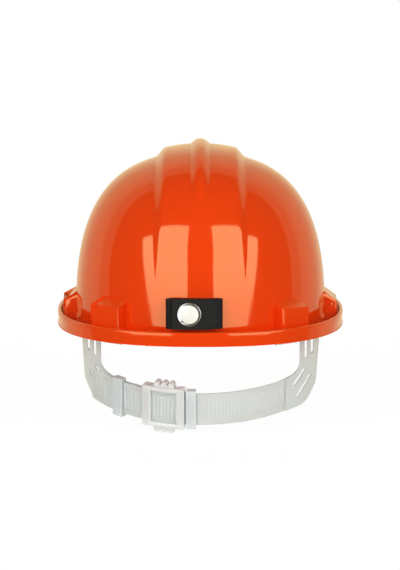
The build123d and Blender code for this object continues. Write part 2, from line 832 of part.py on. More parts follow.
for end_name, end in ENDS.items():
    for side_name, side in SIDES.items():
        angle = corner_angle(side, end)
        tab_face = facing_plane(angle, tab_inner, 0)
        with BuildPart() as key:
            with BuildSketch(radial_plane(angle)):
                Polygon(
                    (plate_inner, key_bottom),
                    (plate_inner + key_thickness, key_bottom),
                    (key_outer, foot_low),
                    (key_outer, key_top),
                    (key_inner, key_top),
                    (plate_inner, foot_low + foot_thickness),
                    align=None,
                )
            extrude(amount=lug_half_width, both=True)
            with BuildSketch(radial_plane(angle)):
                Polygon(
                    (foot_inner, foot_low),
                    (foot_neck_reach, foot_low),
                    (foot_neck_reach, foot_low + foot_thickness),
                    (foot_inner, foot_low + foot_thickness),
                    align=None,
                )
            extrude(amount=foot_width / 2, both=True)
            with BuildSketch(radial_plane(angle)):
                Polygon(
                    (tab_inner, foot_low),
                    (plate_inner + key_thickness, foot_low),
                    (plate_inner + key_thickness, foot_low + foot_thickness),
                    (tab_inner, foot_low + foot_thickness),
                    align=None,
                )
            extrude(amount=neck_width / 2, both=True)
            with BuildSketch(radial_plane(angle)):
                Polygon(
                    (tab_inner, tab_low),
                    (tab_inner + tab_thickness, tab_low),
                    (tab_inner + tab_thickness, foot_low),
                    (tab_inner, foot_low),
                    align=None,
                )
            extrude(amount=tab_width / 2, both=True)
            with BuildSketch(radial_plane(angle)):
                with Locations((webbing_at(foot_middle), foot_middle)):
                    Rectangle(slot_depth, 2 * foot_thickness)
            extrude(amount=webbing_width / 2 + seat, both=True, mode=Mode.SUBTRACT)
            with BuildSketch(tab_face):
                with Locations((0, band_stud_height)):
                    Circle(stud_radius + running_fit)
            extrude(amount=tab_thickness, mode=Mode.SUBTRACT)
            if end_name == "rear":
                boss_end = seat + max(
                    nape_reach(arm_inner[side_name] + nape_thickness, side_name, level)
                    for level in arm_stud_levels
                )
                with BuildSketch(facing_plane(angle, boss_end, arm_stud_height)):
                    Circle(stud_head_radius)
                extrude(amount=plate_inner + key_thickness - boss_end)
                with BuildSketch(facing_plane(angle, boss_end, arm_stud_height)):
                    Circle(stud_radius + running_fit)
                extrude(amount=plate_inner + stud_bite - boss_end, mode=Mode.SUBTRACT)
        name = f"hanger_key_{end_name}_{side_name}"
        key.part.label = name
        export_step(key.part, f"parts/{name}.step")

# Headband, open at the nape, with its brow pad
gap_reach = brim_rear * tan(radians(band_gap_angle))
pad_reach = brim_front * tan(radians(pad_half_angle))
with BuildPart() as headband:
    with BuildSketch(Plane.XY.offset(band_low)):
        Ellipse(band_outer_half_width, band_outer_half_length)
        Ellipse(band_half_width, band_half_length, mode=Mode.SUBTRACT)
        Polygon((0, 0), (-gap_reach, -brim_rear), (gap_reach, -brim_rear), align=None, mode=Mode.SUBTRACT)
    extrude(amount=band_high - band_low)
    for side in SIDES.values():
        for end in ENDS.values():
            with BuildSketch(facing_plane(corner_angle(side, end), tab_inner, band_stud_height)):
                Circle(stud_radius + running_fit)
            extrude(amount=-overrun, mode=Mode.SUBTRACT)
headband.part.label = "headband"
export_step(headband.part, "parts/headband.step")

with BuildPart() as brow_pad:
    with BuildSketch(Plane.XY.offset(band_low + pad_margin)):
        Ellipse(band_half_width - seat, band_half_length - seat)
        Ellipse(
            band_half_width - seat - pad_thickness, band_half_length - seat - pad_thickness,
            mode=Mode.SUBTRACT,
        )
        Polygon((0, 0), (pad_reach, brim_front), (-pad_reach, brim_front), align=None, mode=Mode.INTERSECT)
    extrude(amount=band_high - band_low - 2 * pad_margin)
brow_pad.part.label = "brow_pad"
export_step(brow_pad.part, "parts/brow_pad.step")

with BuildPart() as band_studs:
    for side in SIDES.values():
        for end in ENDS.values():
            angle = corner_angle(side, end)
            offsets = (-stud_head_radius, stud_head_radius)
            inside = min(
                ellipse_reach(band_half_width, band_half_length, angle, offset) for offset in offsets
            ) - running_fit
            outside = tab_inner + tab_thickness
            with BuildSketch(facing_plane(angle, inside, band_stud_height)):
                Circle(stud_head_radius)
            extrude(amount=-stud_head_height)
            with BuildSketch(facing_plane(angle, inside, band_stud_height)):
                Circle(stud_radius)
            extrude(amount=outside - inside)
            with BuildSketch(facing_plane(angle, outside, band_stud_height)):
                Circle(stud_head_radius)
            extrude(amount=stud_head_height)
band_studs.part.label = "headband_studs"
export_step(band_studs.part, "parts/headband_studs.step")

# Crown straps: two webbing arcs from key to key that cross at the top
cross_rise = (webbing_width / 2) ** 2 / webbing_reach + seat
half_webbing = webbing_thickness / 2
straps = {"crown_strap_lower": (SIDES["right"], 0), "crown_strap_upper": (SIDES["left"], 1)}
for name, (side, layer) in straps.items():
    apex = webbing_apex + layer * (webbing_thickness + cross_rise)
    inside = webbing_reach - half_webbing
    outside = webbing_reach + half_webbing
    with BuildPart() as crown_strap:
        with BuildSketch(radial_plane(corner_angle(side, ENDS["front"]))):
            with BuildLine():
                ThreePointArc((-inside, webbing_end), (0, apex - half_webbing), (inside, webbing_end))
                Line((inside, webbing_end), (outside, webbing_end))
                ThreePointArc((outside, webbing_end), (0, apex + half_webbing), (-outside, webbing_end))
                Line((-outside, webbing_end), (-inside, webbing_end))
            make_face()
            with Locations(*[(end * webbing_reach, webbing_end + webbing_hem_height / 2) for end in (-1, 1)]):
                Rectangle(webbing_hem_thickness, webbing_hem_height)
        extrude(amount=webbing_width / 2, both=True)
        with BuildSketch(Plane.XY.offset(apex)):
            Circle(crown_rivet_radius + running_fit)
        extrude(amount=webbing_thickness, both=True, mode=Mode.SUBTRACT)
    crown_strap.part.label = name
    export_step(crown_strap.part, f"parts/{name}.step")

rivet_sag = crown_rivet_head_radius**2 / (2 * webbing_reach) + running_fit
rivet_low = webbing_apex - half_webbing - rivet_sag
rivet_high = webbing_apex + webbing_thickness + cross_rise + half_webbing + running_fit
with BuildPart() as crown_rivet:
    with BuildSketch(Plane.XY.offset(rivet_low)):
        Circle(crown_rivet_radius)
    extrude(amount=rivet_high - rivet_low)
    with BuildSketch(Plane.XY.offset(rivet_low)):
        Circle(crown_rivet_head_radius)
    extrude(amount=-stud_head_height)
    with BuildSketch(Plane.XY.offset(rivet_high)):
        Circle(crown_rivet_head_radius)
    extrude(amount=stud_head_height, taper=30)
crown_rivet.part.label = "crown_rivet"
export_step(crown_rivet.part, "parts/crown_rivet.step")

# Nape strap: two arms bent from flat sheet round one cylinder, and a ribbed tongue
nape_back = Plane(origin=nape.origin, x_dir=(1, 0, 0), z_dir=-nape.y_dir)
half_strap = nape_strap_height / 2
sheet_inner = arm_inner["left"]
sheet_outer = sheet_inner + nape_thickness
rib_inner = tongue_inner - tongue_rib_height
rib_outer = tongue_inner + tongue_core + tongue_rib_height
bar_inner = rib_outer + layer_gap
bar_outer = bar_inner + ring_wall
cheek_inner = half_strap + layer_gap
cheek_outer = cheek_inner + ring_cheek


def nape_sector(inner, outer, start, end):
    """Ring sector round the nape's axis, its angles counted from the middle to the left."""
    return arc_band((0, 0), inner, outer, -90 - end, end - start)


def nape_block(inner, outer, start, end, low, high):
    """Curved block round the nape's axis between two levels."""
    sector = nape_sector(inner, outer, start, end)
    with BuildPart() as block:
        with BuildSketch(nape.offset(low)):
            add(sector)
        extrude(amount=high - low)
    return block.part


def nape_face(radius, angle):
    """Plane facing outward on the nape cylinder, its y running up."""
    turn = radians(-90 - angle)
    origin = nape.from_local_coords(Vector(radius * cos(turn), radius * sin(turn), 0))
    outward = (origin - nape.origin).normalized()
    return Plane(origin=origin, x_dir=nape.z_dir.cross(outward), z_dir=outward)


def arm_outline(side):
    """Flat outline of an arm and its strap seen from behind, with its slits."""
    slit_middle = arm_slit_low + arm_slit_length / 2
    with BuildSketch() as outline:
        Polygon(
            (side * arm_tab_inner_reach, arm_tab_low),
            (side * arm_tab_inner_reach, arm_tab_high),
            (side * arm_tab_outer_reach, arm_tab_high),
            (side * arm_outer_reach, arm_shoulder_level),
            (side * arm_bend_reach, arm_bend_level),
            (side * arm_heel_reach, arm_heel_level),
            (side * arm_tab_inner_reach, -half_strap),
            (0, -half_strap),
            (0, half_strap),
            (side * arm_tab_inner_reach, half_strap),
            (side * arm_inner_reach, arm_corner_level),
            (side * arm_inner_reach, arm_tab_low),
            align=None,
        )
        bends = outline.vertices().filter_by(
            lambda corner: abs(corner.X) > arm_tab_inner_reach and corner.Y < arm_tab_high
        )
        fillet(bends, arm_rounding)
        for step in range(2):
            with Locations((side * (arm_slit_reach + step * arm_slit_spacing), slit_middle)):
                SlotCenterToCenter(arm_slit_length, arm_slit_width, rotation=90, mode=Mode.SUBTRACT)
            reach = corner_slit_reach + step * corner_slit_shift
            level = corner_slit_level - step * corner_slit_drop
            length = corner_slit_length + step * corner_slit_growth
            with Locations((side * reach, level)):
                SlotCenterToCenter(
                    length, corner_slit_width, rotation=side * corner_slit_angle, mode=Mode.SUBTRACT
                )
    return outline.sketch


def passage_ring(inner, start, end, half_height, floor):
    """Block round the strap with a passage through it above its floor."""
    block = nape_block(inner, bar_outer, start, end, -half_height, half_height)
    passage = nape_block(floor, bar_inner, start - ring_wall, end + ring_wall, -cheek_inner, cheek_inner)
    with BuildPart() as ring:
        add(block)
        add(passage, mode=Mode.SUBTRACT)
    return ring.part


side_wrap = 89
root_wrap = 30
for side_name, side in SIDES.items():
    inner = arm_inner[side_name]
    outline = arm_outline(side)
    first, last = (-side_wrap, -root_wrap) if side_name == "right" else (collar_start, side_wrap)
    wrap = nape_block(inner, inner + nape_thickness, first, last, -overrun, 2 * overrun)
    root_cut = nape_block(
        inner - nape_thickness, inner + 2 * nape_thickness, tongue_start_angle, 0, -overrun, arm_shoulder_level
    )
    rings = []
    for start, end in ((collar_start, collar_end), (guide_loop_start, guide_loop_end)):
        rings.append(passage_ring(sheet_inner, start, end, cheek_outer, sheet_outer))
    window = nape_block(
        sheet_inner - nape_thickness, sheet_outer + nape_thickness, pawl_window_start, pawl_window_end,
        pawl_window_margin - half_strap, half_strap - pawl_window_margin,
    )
    with BuildPart() as arm:
        with BuildSketch(nape_back):
            add(outline)
        extrude(amount=nape_radius + overrun)
        add(wrap, mode=Mode.INTERSECT)
        if side_name == "right":
            add(root_cut, mode=Mode.SUBTRACT)
        else:
            add(window, mode=Mode.SUBTRACT)
            for ring in rings:
                add(ring)
        with BuildSketch(facing_plane(corner_angle(side, ENDS["rear"]), 0, arm_stud_height)):
            Circle(stud_radius + running_fit)
        extrude(amount=nape_radius + overrun, mode=Mode.SUBTRACT)
    name = f"nape_arm_{side_name}"
    arm.part.label = name
    export_step(arm.part, f"parts/{name}.step")

tongue_sweep = tongue_end_angle - tongue_start_angle
rib_count = int(tongue_sweep / tongue_rib_pitch_angle) - 1
tongue_strip = nape_block(
    tongue_inner, tongue_inner + tongue_core, tongue_start_angle, tongue_end_angle, -half_strap, half_strap
)
ribs = []
for rib in range(rib_count):
    start = tongue_start_angle + (rib + tongue_rib_share) * tongue_rib_pitch_angle
    ribs.append(nape_sector(rib_inner, rib_outer, start, start + tongue_rib_share * tongue_rib_pitch_angle))
with BuildPart() as nape_tongue:
    add(tongue_strip)
    with BuildSketch(nape.offset(-tongue_rib_band / 2)):
        for rib in ribs:
            add(rib)
    extrude(amount=tongue_rib_band)
nape_tongue.part.label = "nape_tongue"
export_step(nape_tongue.part, "parts/nape_tongue.step")

# Adjuster buckle: two rings round the sheet and the tongue, tied by rails above and below
lip_outer = sheet_inner - seat
lip_inner = lip_outer - ring_wall
far_start = buckle_end - buckle_bar_far
near_end = buckle_start + buckle_bar_near
buckle_rings = [
    passage_ring(lip_inner, buckle_start, near_end, buckle_half_height, lip_outer),
    passage_ring(lip_inner, far_start, buckle_end, buckle_half_height, lip_outer),
]
rails = [
    nape_block(sheet_inner, bar_outer, buckle_start, buckle_end, cheek_inner, buckle_half_height),
    nape_block(sheet_inner, bar_outer, buckle_start, buckle_end, -buckle_half_height, -cheek_inner),
]
with BuildPart() as adjuster_buckle:
    for block in buckle_rings + rails:
        add(block)
adjuster_buckle.part.label = "adjuster_buckle"
export_step(adjuster_buckle.part, "parts/adjuster_buckle.step")

# Locking pawl: toothed plate inside the window with thumb grips above and below
gap_angle = degrees(layer_gap / sheet_inner)
pawl_start = pawl_window_start + gap_angle
pawl_end = pawl_window_end - gap_angle
pawl_outer = lip_outer
pawl_inner = pawl_outer - pawl_plate
boss_outer = rib_inner - pawl_tooth_gap - pawl_tooth_height
boss_half = half_strap - pawl_window_margin - layer_gap
grip_low = buckle_half_height + layer_gap
plate_half = grip_half_height - grip_hump_radius
tooth_angle = (pawl_end - pawl_start) / pawl_tooth_count
plate = nape_block(pawl_inner, pawl_outer, pawl_start, pawl_end, -plate_half, plate_half)
pawl_boss = nape_block(pawl_inner, boss_outer, pawl_start, pawl_end, -boss_half, boss_half)
teeth = []
for tooth in range(pawl_tooth_count):
    start = pawl_start + (tooth + pawl_tooth_share / 2) * tooth_angle
    end = start + pawl_tooth_share * tooth_angle
    teeth.append(nape_block(pawl_inner, boss_outer + pawl_tooth_height, start, end, -boss_half, boss_half))
grip_width = 2 * pawl_inner * sin(radians((pawl_end - pawl_start) / 2))
grip_face = nape_face(pawl_inner, (pawl_start + pawl_end) / 2)
hump_step = (grip_width - 2 * grip_hump_radius) / (grip_hump_count - 1)
with BuildPart() as locking_pawl:
    add(plate)
    add(pawl_boss)
    for tooth in teeth:
        add(tooth)
    for side in SIDES.values():
        with BuildSketch(grip_face):
            with Locations((0, side * (grip_low + plate_half) / 2)):
                Rectangle(grip_width, plate_half - grip_low)
            with Locations((0, side * plate_half)):
                with GridLocations(hump_step, 0, grip_hump_count, 1):
                    Circle(grip_hump_radius)
            with Locations((0, 0)):
                Rectangle(grip_width, 2 * grip_low, mode=Mode.SUBTRACT)
        extrude(amount=grip_depth)
locking_pawl.part.label = "locking_pawl"
export_step(locking_pawl.part, "parts/locking_pawl.step")

with BuildPart() as nape_studs:
    for side_name, side in SIDES.items():
        angle = corner_angle(side, ENDS["rear"])
        inside = min(nape_reach(arm_inner[side_name], side_name, level) for level in arm_stud_levels)
        inside = inside - running_fit
        with BuildSketch(facing_plane(angle, inside, arm_stud_height)):
            Circle(stud_head_radius)
        extrude(amount=-stud_head_height)
        with BuildSketch(facing_plane(angle, inside, arm_stud_height)):
            Circle(stud_radius)
        extrude(amount=plate_inner + stud_bite - seat - inside)
nape_studs.part.label = "nape_studs"
export_step(nape_studs.part, "parts/nape_studs.step")
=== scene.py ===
# %% [markdown]
# A miner's helmet, seen from behind. The engineering model gives every piece its place and size.
# This lesson dresses that model: it makes the smooth orange shell, softens the moulded plastic
# pieces, and gives each one a procedural finish. Everything is in metres, Z up, with the peak
# pointing along +Y, so the camera stands on the -Y side and looks at the back of the helmet.

import math

import bmesh
import bpy
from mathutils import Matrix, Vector


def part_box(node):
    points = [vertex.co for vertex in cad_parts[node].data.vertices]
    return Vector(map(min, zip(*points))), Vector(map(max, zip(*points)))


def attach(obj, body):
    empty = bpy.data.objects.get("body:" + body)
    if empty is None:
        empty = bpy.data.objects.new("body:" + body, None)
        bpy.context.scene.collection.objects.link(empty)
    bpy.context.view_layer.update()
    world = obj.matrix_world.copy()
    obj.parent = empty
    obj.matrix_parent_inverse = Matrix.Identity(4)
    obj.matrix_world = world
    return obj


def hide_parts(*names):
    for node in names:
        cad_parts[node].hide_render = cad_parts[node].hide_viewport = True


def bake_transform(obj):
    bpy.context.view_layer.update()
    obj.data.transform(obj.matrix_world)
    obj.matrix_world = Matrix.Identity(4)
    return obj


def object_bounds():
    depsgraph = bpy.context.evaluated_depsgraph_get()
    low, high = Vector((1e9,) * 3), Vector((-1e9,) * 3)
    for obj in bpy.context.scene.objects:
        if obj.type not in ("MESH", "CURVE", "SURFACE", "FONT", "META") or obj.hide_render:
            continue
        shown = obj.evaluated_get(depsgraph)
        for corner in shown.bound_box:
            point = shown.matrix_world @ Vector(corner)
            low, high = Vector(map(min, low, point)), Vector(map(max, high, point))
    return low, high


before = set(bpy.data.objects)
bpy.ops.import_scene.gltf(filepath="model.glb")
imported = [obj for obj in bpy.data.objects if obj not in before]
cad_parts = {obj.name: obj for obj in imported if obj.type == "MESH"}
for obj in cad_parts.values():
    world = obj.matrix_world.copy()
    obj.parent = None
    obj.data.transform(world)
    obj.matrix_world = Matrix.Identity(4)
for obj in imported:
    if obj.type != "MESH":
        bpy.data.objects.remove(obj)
cad_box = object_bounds()
print("pieces in the model:", len(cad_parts))
print("model box:", cad_box)

# %% [markdown]
# The camera comes first, because every later choice is judged through it. The photograph was
# taken from about nine degrees above the brim with a long lens, so lines stay almost parallel.
# One millimetre at the helmet's middle covers 1.22 pixels of a picture 570 pixels high.

# %% Camera
VIEW_ELEVATION = math.radians(9.2)
LENS = 400.0
SENSOR = 36.0
PIXELS_PER_METRE = 1220.0
PICTURE_HEIGHT = 570
MIDDLE_X, MIDDLE_UP = -0.00025, 0.0287

distance = LENS * PICTURE_HEIGHT / (SENSOR * PIXELS_PER_METRE)
looking = Vector((0.0, math.cos(VIEW_ELEVATION), -math.sin(VIEW_ELEVATION)))
upward = Vector((0.0, math.sin(VIEW_ELEVATION), math.cos(VIEW_ELEVATION)))
target = Vector((MIDDLE_X, 0.0, 0.0)) + upward * MIDDLE_UP

scene = bpy.context.scene
camera_data = bpy.data.cameras.new("back_view")
camera_data.lens = LENS
camera_data.sensor_width = SENSOR
camera_data.clip_end = 100.0
camera = bpy.data.objects.new("back_view", camera_data)
scene.collection.objects.link(camera)
camera.location = target - looking * distance
camera.rotation_euler = looking.to_track_quat("-Z", "Y").to_euler()
scene.camera = camera
scene.view_settings.view_transform = "Standard"
print("camera stands", round(distance, 3), "m away")

# %% [markdown]
# The gloss on the shell shows the studio it stood in: two big soft boxes leaning in behind the
# camera, a dark gap between and beside them, and a pale room behind the helmet. Lamps could stand
# for the boxes, but their leaning edges are easier to place as planes in the world's own light. The
# studio is the same on its left and its right, so a direction loses the sign of its X first.

# %% Directions in the studio
def add_node(tree, kind, inputs=None, **settings):
    """New shader node; each input is given as a value or as a socket to link."""
    node = tree.nodes.new(kind)
    for name, value in settings.items():
        setattr(node, name, value)
    for socket, value in (inputs or {}).items():
        if isinstance(value, bpy.types.NodeSocket):
            tree.links.new(value, node.inputs[socket])
        else:
            node.inputs[socket].default_value = value
    return node


def worked_out(tree, operation, *values):
    """Result of a Math node on numbers or sockets."""
    return add_node(tree, "ShaderNodeMath", dict(enumerate(values)), operation=operation).outputs[0]


world = bpy.data.worlds.new("studio")
scene.world = world
world.use_nodes = True
studio = world.node_tree
studio.nodes.clear()
direction = add_node(studio, "ShaderNodeTexCoord").outputs["Generated"]
split = add_node(studio, "ShaderNodeSeparateXYZ", {0: direction}).outputs
sideways = worked_out(studio, "ABSOLUTE", split["X"])
mirrored = add_node(
    studio, "ShaderNodeCombineXYZ", {"X": sideways, "Y": split["Y"], "Z": split["Z"]}
).outputs[0]
EDGE_SOFTNESS = 0.012


def across_plane(normal, edge, before, after, softness=EDGE_SOFTNESS):
    """Level that changes from before to after where the mirrored direction crosses a plane."""
    lean = add_node(studio, "ShaderNodeVectorMath", {0: mirrored, 1: normal}, operation="DOT_PRODUCT")
    change = add_node(
        studio, "ShaderNodeMapRange",
        {"Value": lean.outputs["Value"], "From Min": edge - softness, "From Max": edge + softness,
         "To Min": before, "To Max": after},
        interpolation_type="SMOOTHSTEP",
    )
    return change.outputs[0]


print("studio nodes for the direction:", len(studio.nodes))

# %% [markdown]
# The walls grow brighter from the camera's side to the side behind the helmet: a dim gap, a shelf of
# grey, the pale room, and a far wall that only the crown's outermost edge reflects. They are a warm
# white, because a pure white would look pink on the orange shell.

# %% Walls
ROOM_PLANE = (0.05, 1.0, -0.22)
GAP_LEVEL, SHELF_LEVEL, ROOM_LEVEL, FAR_LEVEL = 0.12, 0.46, 0.66, 0.98
WALL_COLOUR = (1.0, 0.91, 0.62, 1.0)

shelf = across_plane(ROOM_PLANE, 0.28, GAP_LEVEL, SHELF_LEVEL)
room = across_plane(ROOM_PLANE, 0.50, 0.0, ROOM_LEVEL - SHELF_LEVEL, 0.04)
far_wall = across_plane(ROOM_PLANE, 0.92, 0.0, FAR_LEVEL - ROOM_LEVEL, 0.12)
walls_level = worked_out(studio, "ADD", worked_out(studio, "ADD", shelf, room), far_wall)
walls = add_node(studio, "ShaderNodeBackground", {"Color": WALL_COLOUR, "Strength": walls_level})
print("light levels of the walls:", GAP_LEVEL, SHELF_LEVEL, ROOM_LEVEL, FAR_LEVEL)

# %% [markdown]
# A direction is inside a soft box when it lies on the right side of four planes, so their levels are
# multiplied. The planes stand for the box's inner, outer, top and low edge, in this order, and the
# low edge keeps the box out of the lip's gloss. A fifth, soft plane dims the foot of the box.

# %% Soft boxes
BOX_LEVEL = 3.1
FOOT_SHARE = 0.75
WHITE = (1.0, 1.0, 1.0, 1.0)

boxes_level = across_plane((1.0, 0.268, 0.0), 0.0, 0.0, BOX_LEVEL)
for edge in (
    across_plane((0.314, 0.519, -0.327), -0.02, 1.0, 0.0),
    across_plane((-0.173, 0.497, 0.461), -0.055, 1.0, 0.0),
    across_plane((0.0, 0.0, 1.0), -0.225, 0.0, 1.0),
    across_plane((0.0, 0.0, 1.0), 0.05, FOOT_SHARE, 1.0, 0.25),
):
    boxes_level = worked_out(studio, "MULTIPLY", boxes_level, edge)
soft_boxes = add_node(studio, "ShaderNodeBackground", {"Color": WHITE, "Strength": boxes_level})
print("light level of the boxes:", BOX_LEVEL)

# %% [markdown]
# The camera itself sees neither walls nor boxes, but the plain white behind a catalogue picture. The
# Light Path node tells its rays from the ones that light the helmet.

# %% Background
lit = add_node(studio, "ShaderNodeAddShader", {0: walls.outputs[0], 1: soft_boxes.outputs[0]})
white = add_node(studio, "ShaderNodeBackground", {"Color": WHITE, "Strength": 1.0})
seen = add_node(studio, "ShaderNodeLightPath").outputs["Is Camera Ray"]
pick = add_node(studio, "ShaderNodeMixShader", {0: seen, 1: lit.outputs[0], 2: white.outputs[0]})
add_node(studio, "ShaderNodeOutputWorld", {"Surface": pick.outputs[0]})
print("studio nodes:", len(studio.nodes))

# %% [markdown]
# Every piece is first built as a bmesh, where it can be cut and joined freely, and then becomes an
# object with smooth faces. Two short helpers make the objects and the empty materials.

# %% Objects and materials
SHARP_ANGLE = 35.0


def plain_material(name):
    """New node material and its node tree."""
    material = bpy.data.materials.new(name)
    material.use_nodes = True
    return material, material.node_tree


def object_of(name, bm):
    """Turns a bmesh into a linked object with smooth faces, and sharp edges past an angle."""
    mesh = bpy.data.meshes.new(name)
    bm.to_mesh(mesh)
    bm.free()
    mesh.polygons.foreach_set("use_smooth", [True] * len(mesh.polygons))
    mesh.set_sharp_from_angle(angle=math.radians(SHARP_ANGLE))
    piece = bpy.data.objects.new(name, mesh)
    scene.collection.objects.link(piece)
    return piece


print("edges are sharp past", SHARP_ANGLE, "degrees")

# %% [markdown]
# The floor is a wide pale plane just under the lowest piece. Seen by the camera it is mostly plain
# white, like a paper sweep, with a little of its real shading left so the shadow still shows. The
# gloss doesn't show it, and from below it is clear, so that the inside of the shell can be seen.

# %% Floor
FLOOR_GAP = 0.0005
FLOOR_SIZE = 12.0
PAPER_GREY = 0.86
GLOW, GLOW_SHARE = 1.03, 0.94

floor_level = cad_box[0][2] - FLOOR_GAP
floor_mesh = bmesh.new()
bmesh.ops.create_grid(floor_mesh, x_segments=1, y_segments=1, size=FLOOR_SIZE)
bmesh.ops.translate(floor_mesh, verts=floor_mesh.verts, vec=(0, 0, floor_level))
floor = object_of("floor", floor_mesh)
paper, tree = plain_material("paper_sweep")
matt = tree.nodes["Principled BSDF"]
matt.inputs["Base Color"].default_value = (PAPER_GREY, PAPER_GREY, PAPER_GREY, 1.0)
matt.inputs["Roughness"].default_value = 0.9
glow = add_node(tree, "ShaderNodeEmission", {"Strength": GLOW})
seen = add_node(tree, "ShaderNodeLightPath").outputs["Is Camera Ray"]
share = worked_out(tree, "MULTIPLY", seen, GLOW_SHARE)
above = add_node(tree, "ShaderNodeMixShader", {0: share, 1: matt.outputs[0], 2: glow.outputs[0]})
clear = add_node(tree, "ShaderNodeBsdfTransparent")
underside = add_node(tree, "ShaderNodeNewGeometry").outputs["Backfacing"]
sheet = add_node(tree, "ShaderNodeMixShader", {0: underside, 1: above.outputs[0], 2: clear.outputs[0]})
tree.links.new(sheet.outputs[0], tree.nodes["Material Output"].inputs["Surface"])
floor.data.materials.append(paper)
floor.visible_glossy = False
print("floor lies at", round(floor_level, 4))

# %% [markdown]
# Surface effects are shared by many pieces, so each becomes a node group. A group puts out only a
# colour, a roughness and a normal, and the shader itself stays in the material. The colour is the
# finish's tint made lighter or darker over the surface, and the normal is bumped by a height.

# %% Effect helpers
def effect_group(name, numbers):
    """Node group with a Tint colour, the named numbers and three surface outputs."""
    group = bpy.data.node_groups.new(name, "ShaderNodeTree")
    group.interface.new_socket("Tint", in_out="INPUT", socket_type="NodeSocketColor")
    for number, value in numbers.items():
        socket = group.interface.new_socket(number, in_out="INPUT", socket_type="NodeSocketFloat")
        socket.default_value = value
    group.interface.new_socket("Color", in_out="OUTPUT", socket_type="NodeSocketColor")
    group.interface.new_socket("Roughness", in_out="OUTPUT", socket_type="NodeSocketFloat")
    group.interface.new_socket("Normal", in_out="OUTPUT", socket_type="NodeSocketVector")
    return group, add_node(group, "NodeGroupInput").outputs


def noise(group, vector, scale, detail=2.0):
    """Noise texture read along a vector; the scale is a number or a socket."""
    inputs = {"Vector": vector, "Scale": scale, "Detail": detail}
    return add_node(group, "ShaderNodeTexNoise", inputs).outputs["Fac"]


def shade_range(group, value, low, high):
    """Moves a value from 0.3-0.7 to the range between two numbers or sockets."""
    inputs = {"Value": value, "From Min": 0.3, "From Max": 0.7, "To Min": low, "To Max": high}
    return add_node(group, "ShaderNodeMapRange", inputs).outputs[0]


def put_out(group, tint, shade, roughness, height, depth):
    """Links the three outputs; the depth of the bump is in metres."""
    colour = add_node(group, "ShaderNodeVectorMath", {0: tint, "Scale": shade}, operation="SCALE")
    bump = add_node(group, "ShaderNodeBump", {"Height": height, "Distance": depth})
    surface = {"Color": colour.outputs[0], "Roughness": roughness, "Normal": bump.outputs["Normal"]}
    add_node(group, "NodeGroupOutput", surface)
    print("surface effect:", group.name)


# %% [markdown]
# Moulded plastic and metal have a faint orange-peel skin and a slightly uneven gloss. Two slow
# noises change the shade and the gloss, and a finer one raises the peel.

# %% Moulded skin
moulded, given = effect_group(
    "moulded_skin",
    {"Shade Low": 0.97, "Peel Scale": 260.0, "Peel Depth": 0.00002, "Gloss": 0.15, "Dull": 0.22},
)
place = add_node(moulded, "ShaderNodeTexCoord").outputs["Object"]
put_out(
    moulded, given["Tint"],
    shade_range(moulded, noise(moulded, place, 22.0, 3.0), given["Shade Low"], 1.0),
    shade_range(moulded, noise(moulded, place, 70.0, 4.0), given["Gloss"], given["Dull"]),
    noise(moulded, place, given["Peel Scale"]), given["Peel Depth"],
)

# %% [markdown]
# Leather shows a pebbled grain. The distance from the middles of Voronoi cells gives its domes, and
# the creases between them are duller and get painted shade, a darker colour.

# %% Pebbled skin
pebbled, given = effect_group(
    "pebbled_skin",
    {"Shade Low": 0.8, "Grain Scale": 900.0, "Grain Depth": 0.0001, "Gloss": 0.5, "Dull": 0.7},
)
place = add_node(pebbled, "ShaderNodeTexCoord").outputs["Object"]
cells = add_node(pebbled, "ShaderNodeTexVoronoi", {"Vector": place, "Scale": given["Grain Scale"]})
grain = cells.outputs["Distance"]
# Painted shade: the colour darkens towards the creases between the cells.
put_out(
    pebbled, given["Tint"],
    shade_range(pebbled, grain, 1.0, given["Shade Low"]),
    shade_range(pebbled, grain, given["Gloss"], given["Dull"]),
    grain, given["Grain Depth"],
)

# %% [markdown]
# Woven webbing shows crossing yarns. Two sine waves run along the ribbon's own UV map, and their
# product is the height of the yarns. Where it is low, between the yarns, the colour gets painted shade.

# %% Woven yarns
woven, given = effect_group(
    "woven_yarns",
    {"Shade Low": 0.55, "Along": 130.0, "Across": 16.0, "Yarn Depth": 0.0002, "Gloss": 0.6, "Dull": 0.8},
)
ribbon_map = add_node(woven, "ShaderNodeUVMap", uv_map="UVMap").outputs["UV"]
ribbon_axes = add_node(woven, "ShaderNodeSeparateXYZ", {0: ribbon_map}).outputs


def yarn_wave(axis, count, shift):
    """Row of rounded yarns: the sine of a UV axis times the yarn count."""
    turns = worked_out(woven, "MULTIPLY", ribbon_axes[axis], given[count])
    return worked_out(woven, "SINE", worked_out(woven, "MULTIPLY_ADD", turns, math.pi, shift))


half_wave = worked_out(woven, "MULTIPLY", yarn_wave("X", "Along", 0.0), 0.5)
yarns = worked_out(woven, "MULTIPLY_ADD", half_wave, yarn_wave("Y", "Across", 0.5 * math.pi), 0.5)
# Painted shade: the colour is darker where the yarns are low.
put_out(
    woven, given["Tint"],
    shade_range(woven, yarns, given["Shade Low"], 1.0),
    shade_range(woven, yarns, given["Dull"], given["Gloss"]),
    yarns, given["Yarn Depth"],
)

# %% [markdown]
# Each finish is one Principled material fed by one of the effects, so a helper makes them. The
# colours are plain linear values. The shell's strong orange has a high gloss, and its warm specular
# tint and sheen keep the reflections orange towards the edges.

# %% Shell finish
def finish_material(name, effect, tint, settings=(), **shader_values):
    """Principled material whose colour, roughness and normal come from a surface effect."""
    material, tree = plain_material(name)
    shader = tree.nodes["Principled BSDF"]
    surface = add_node(tree, "ShaderNodeGroup", node_tree=effect)
    surface.inputs["Tint"].default_value = (*tint, 1.0)
    for number, value in dict(settings).items():
        surface.inputs[number].default_value = value
    tree.links.new(surface.outputs["Color"], shader.inputs["Base Color"])
    tree.links.new(surface.outputs["Roughness"], shader.inputs["Roughness"])
    tree.links.new(surface.outputs["Normal"], shader.inputs["Normal"])
    for socket, value in shader_values.items():
        shader.inputs[socket.replace("_", " ")].default_value = value
    print("finish:", name)
    return material


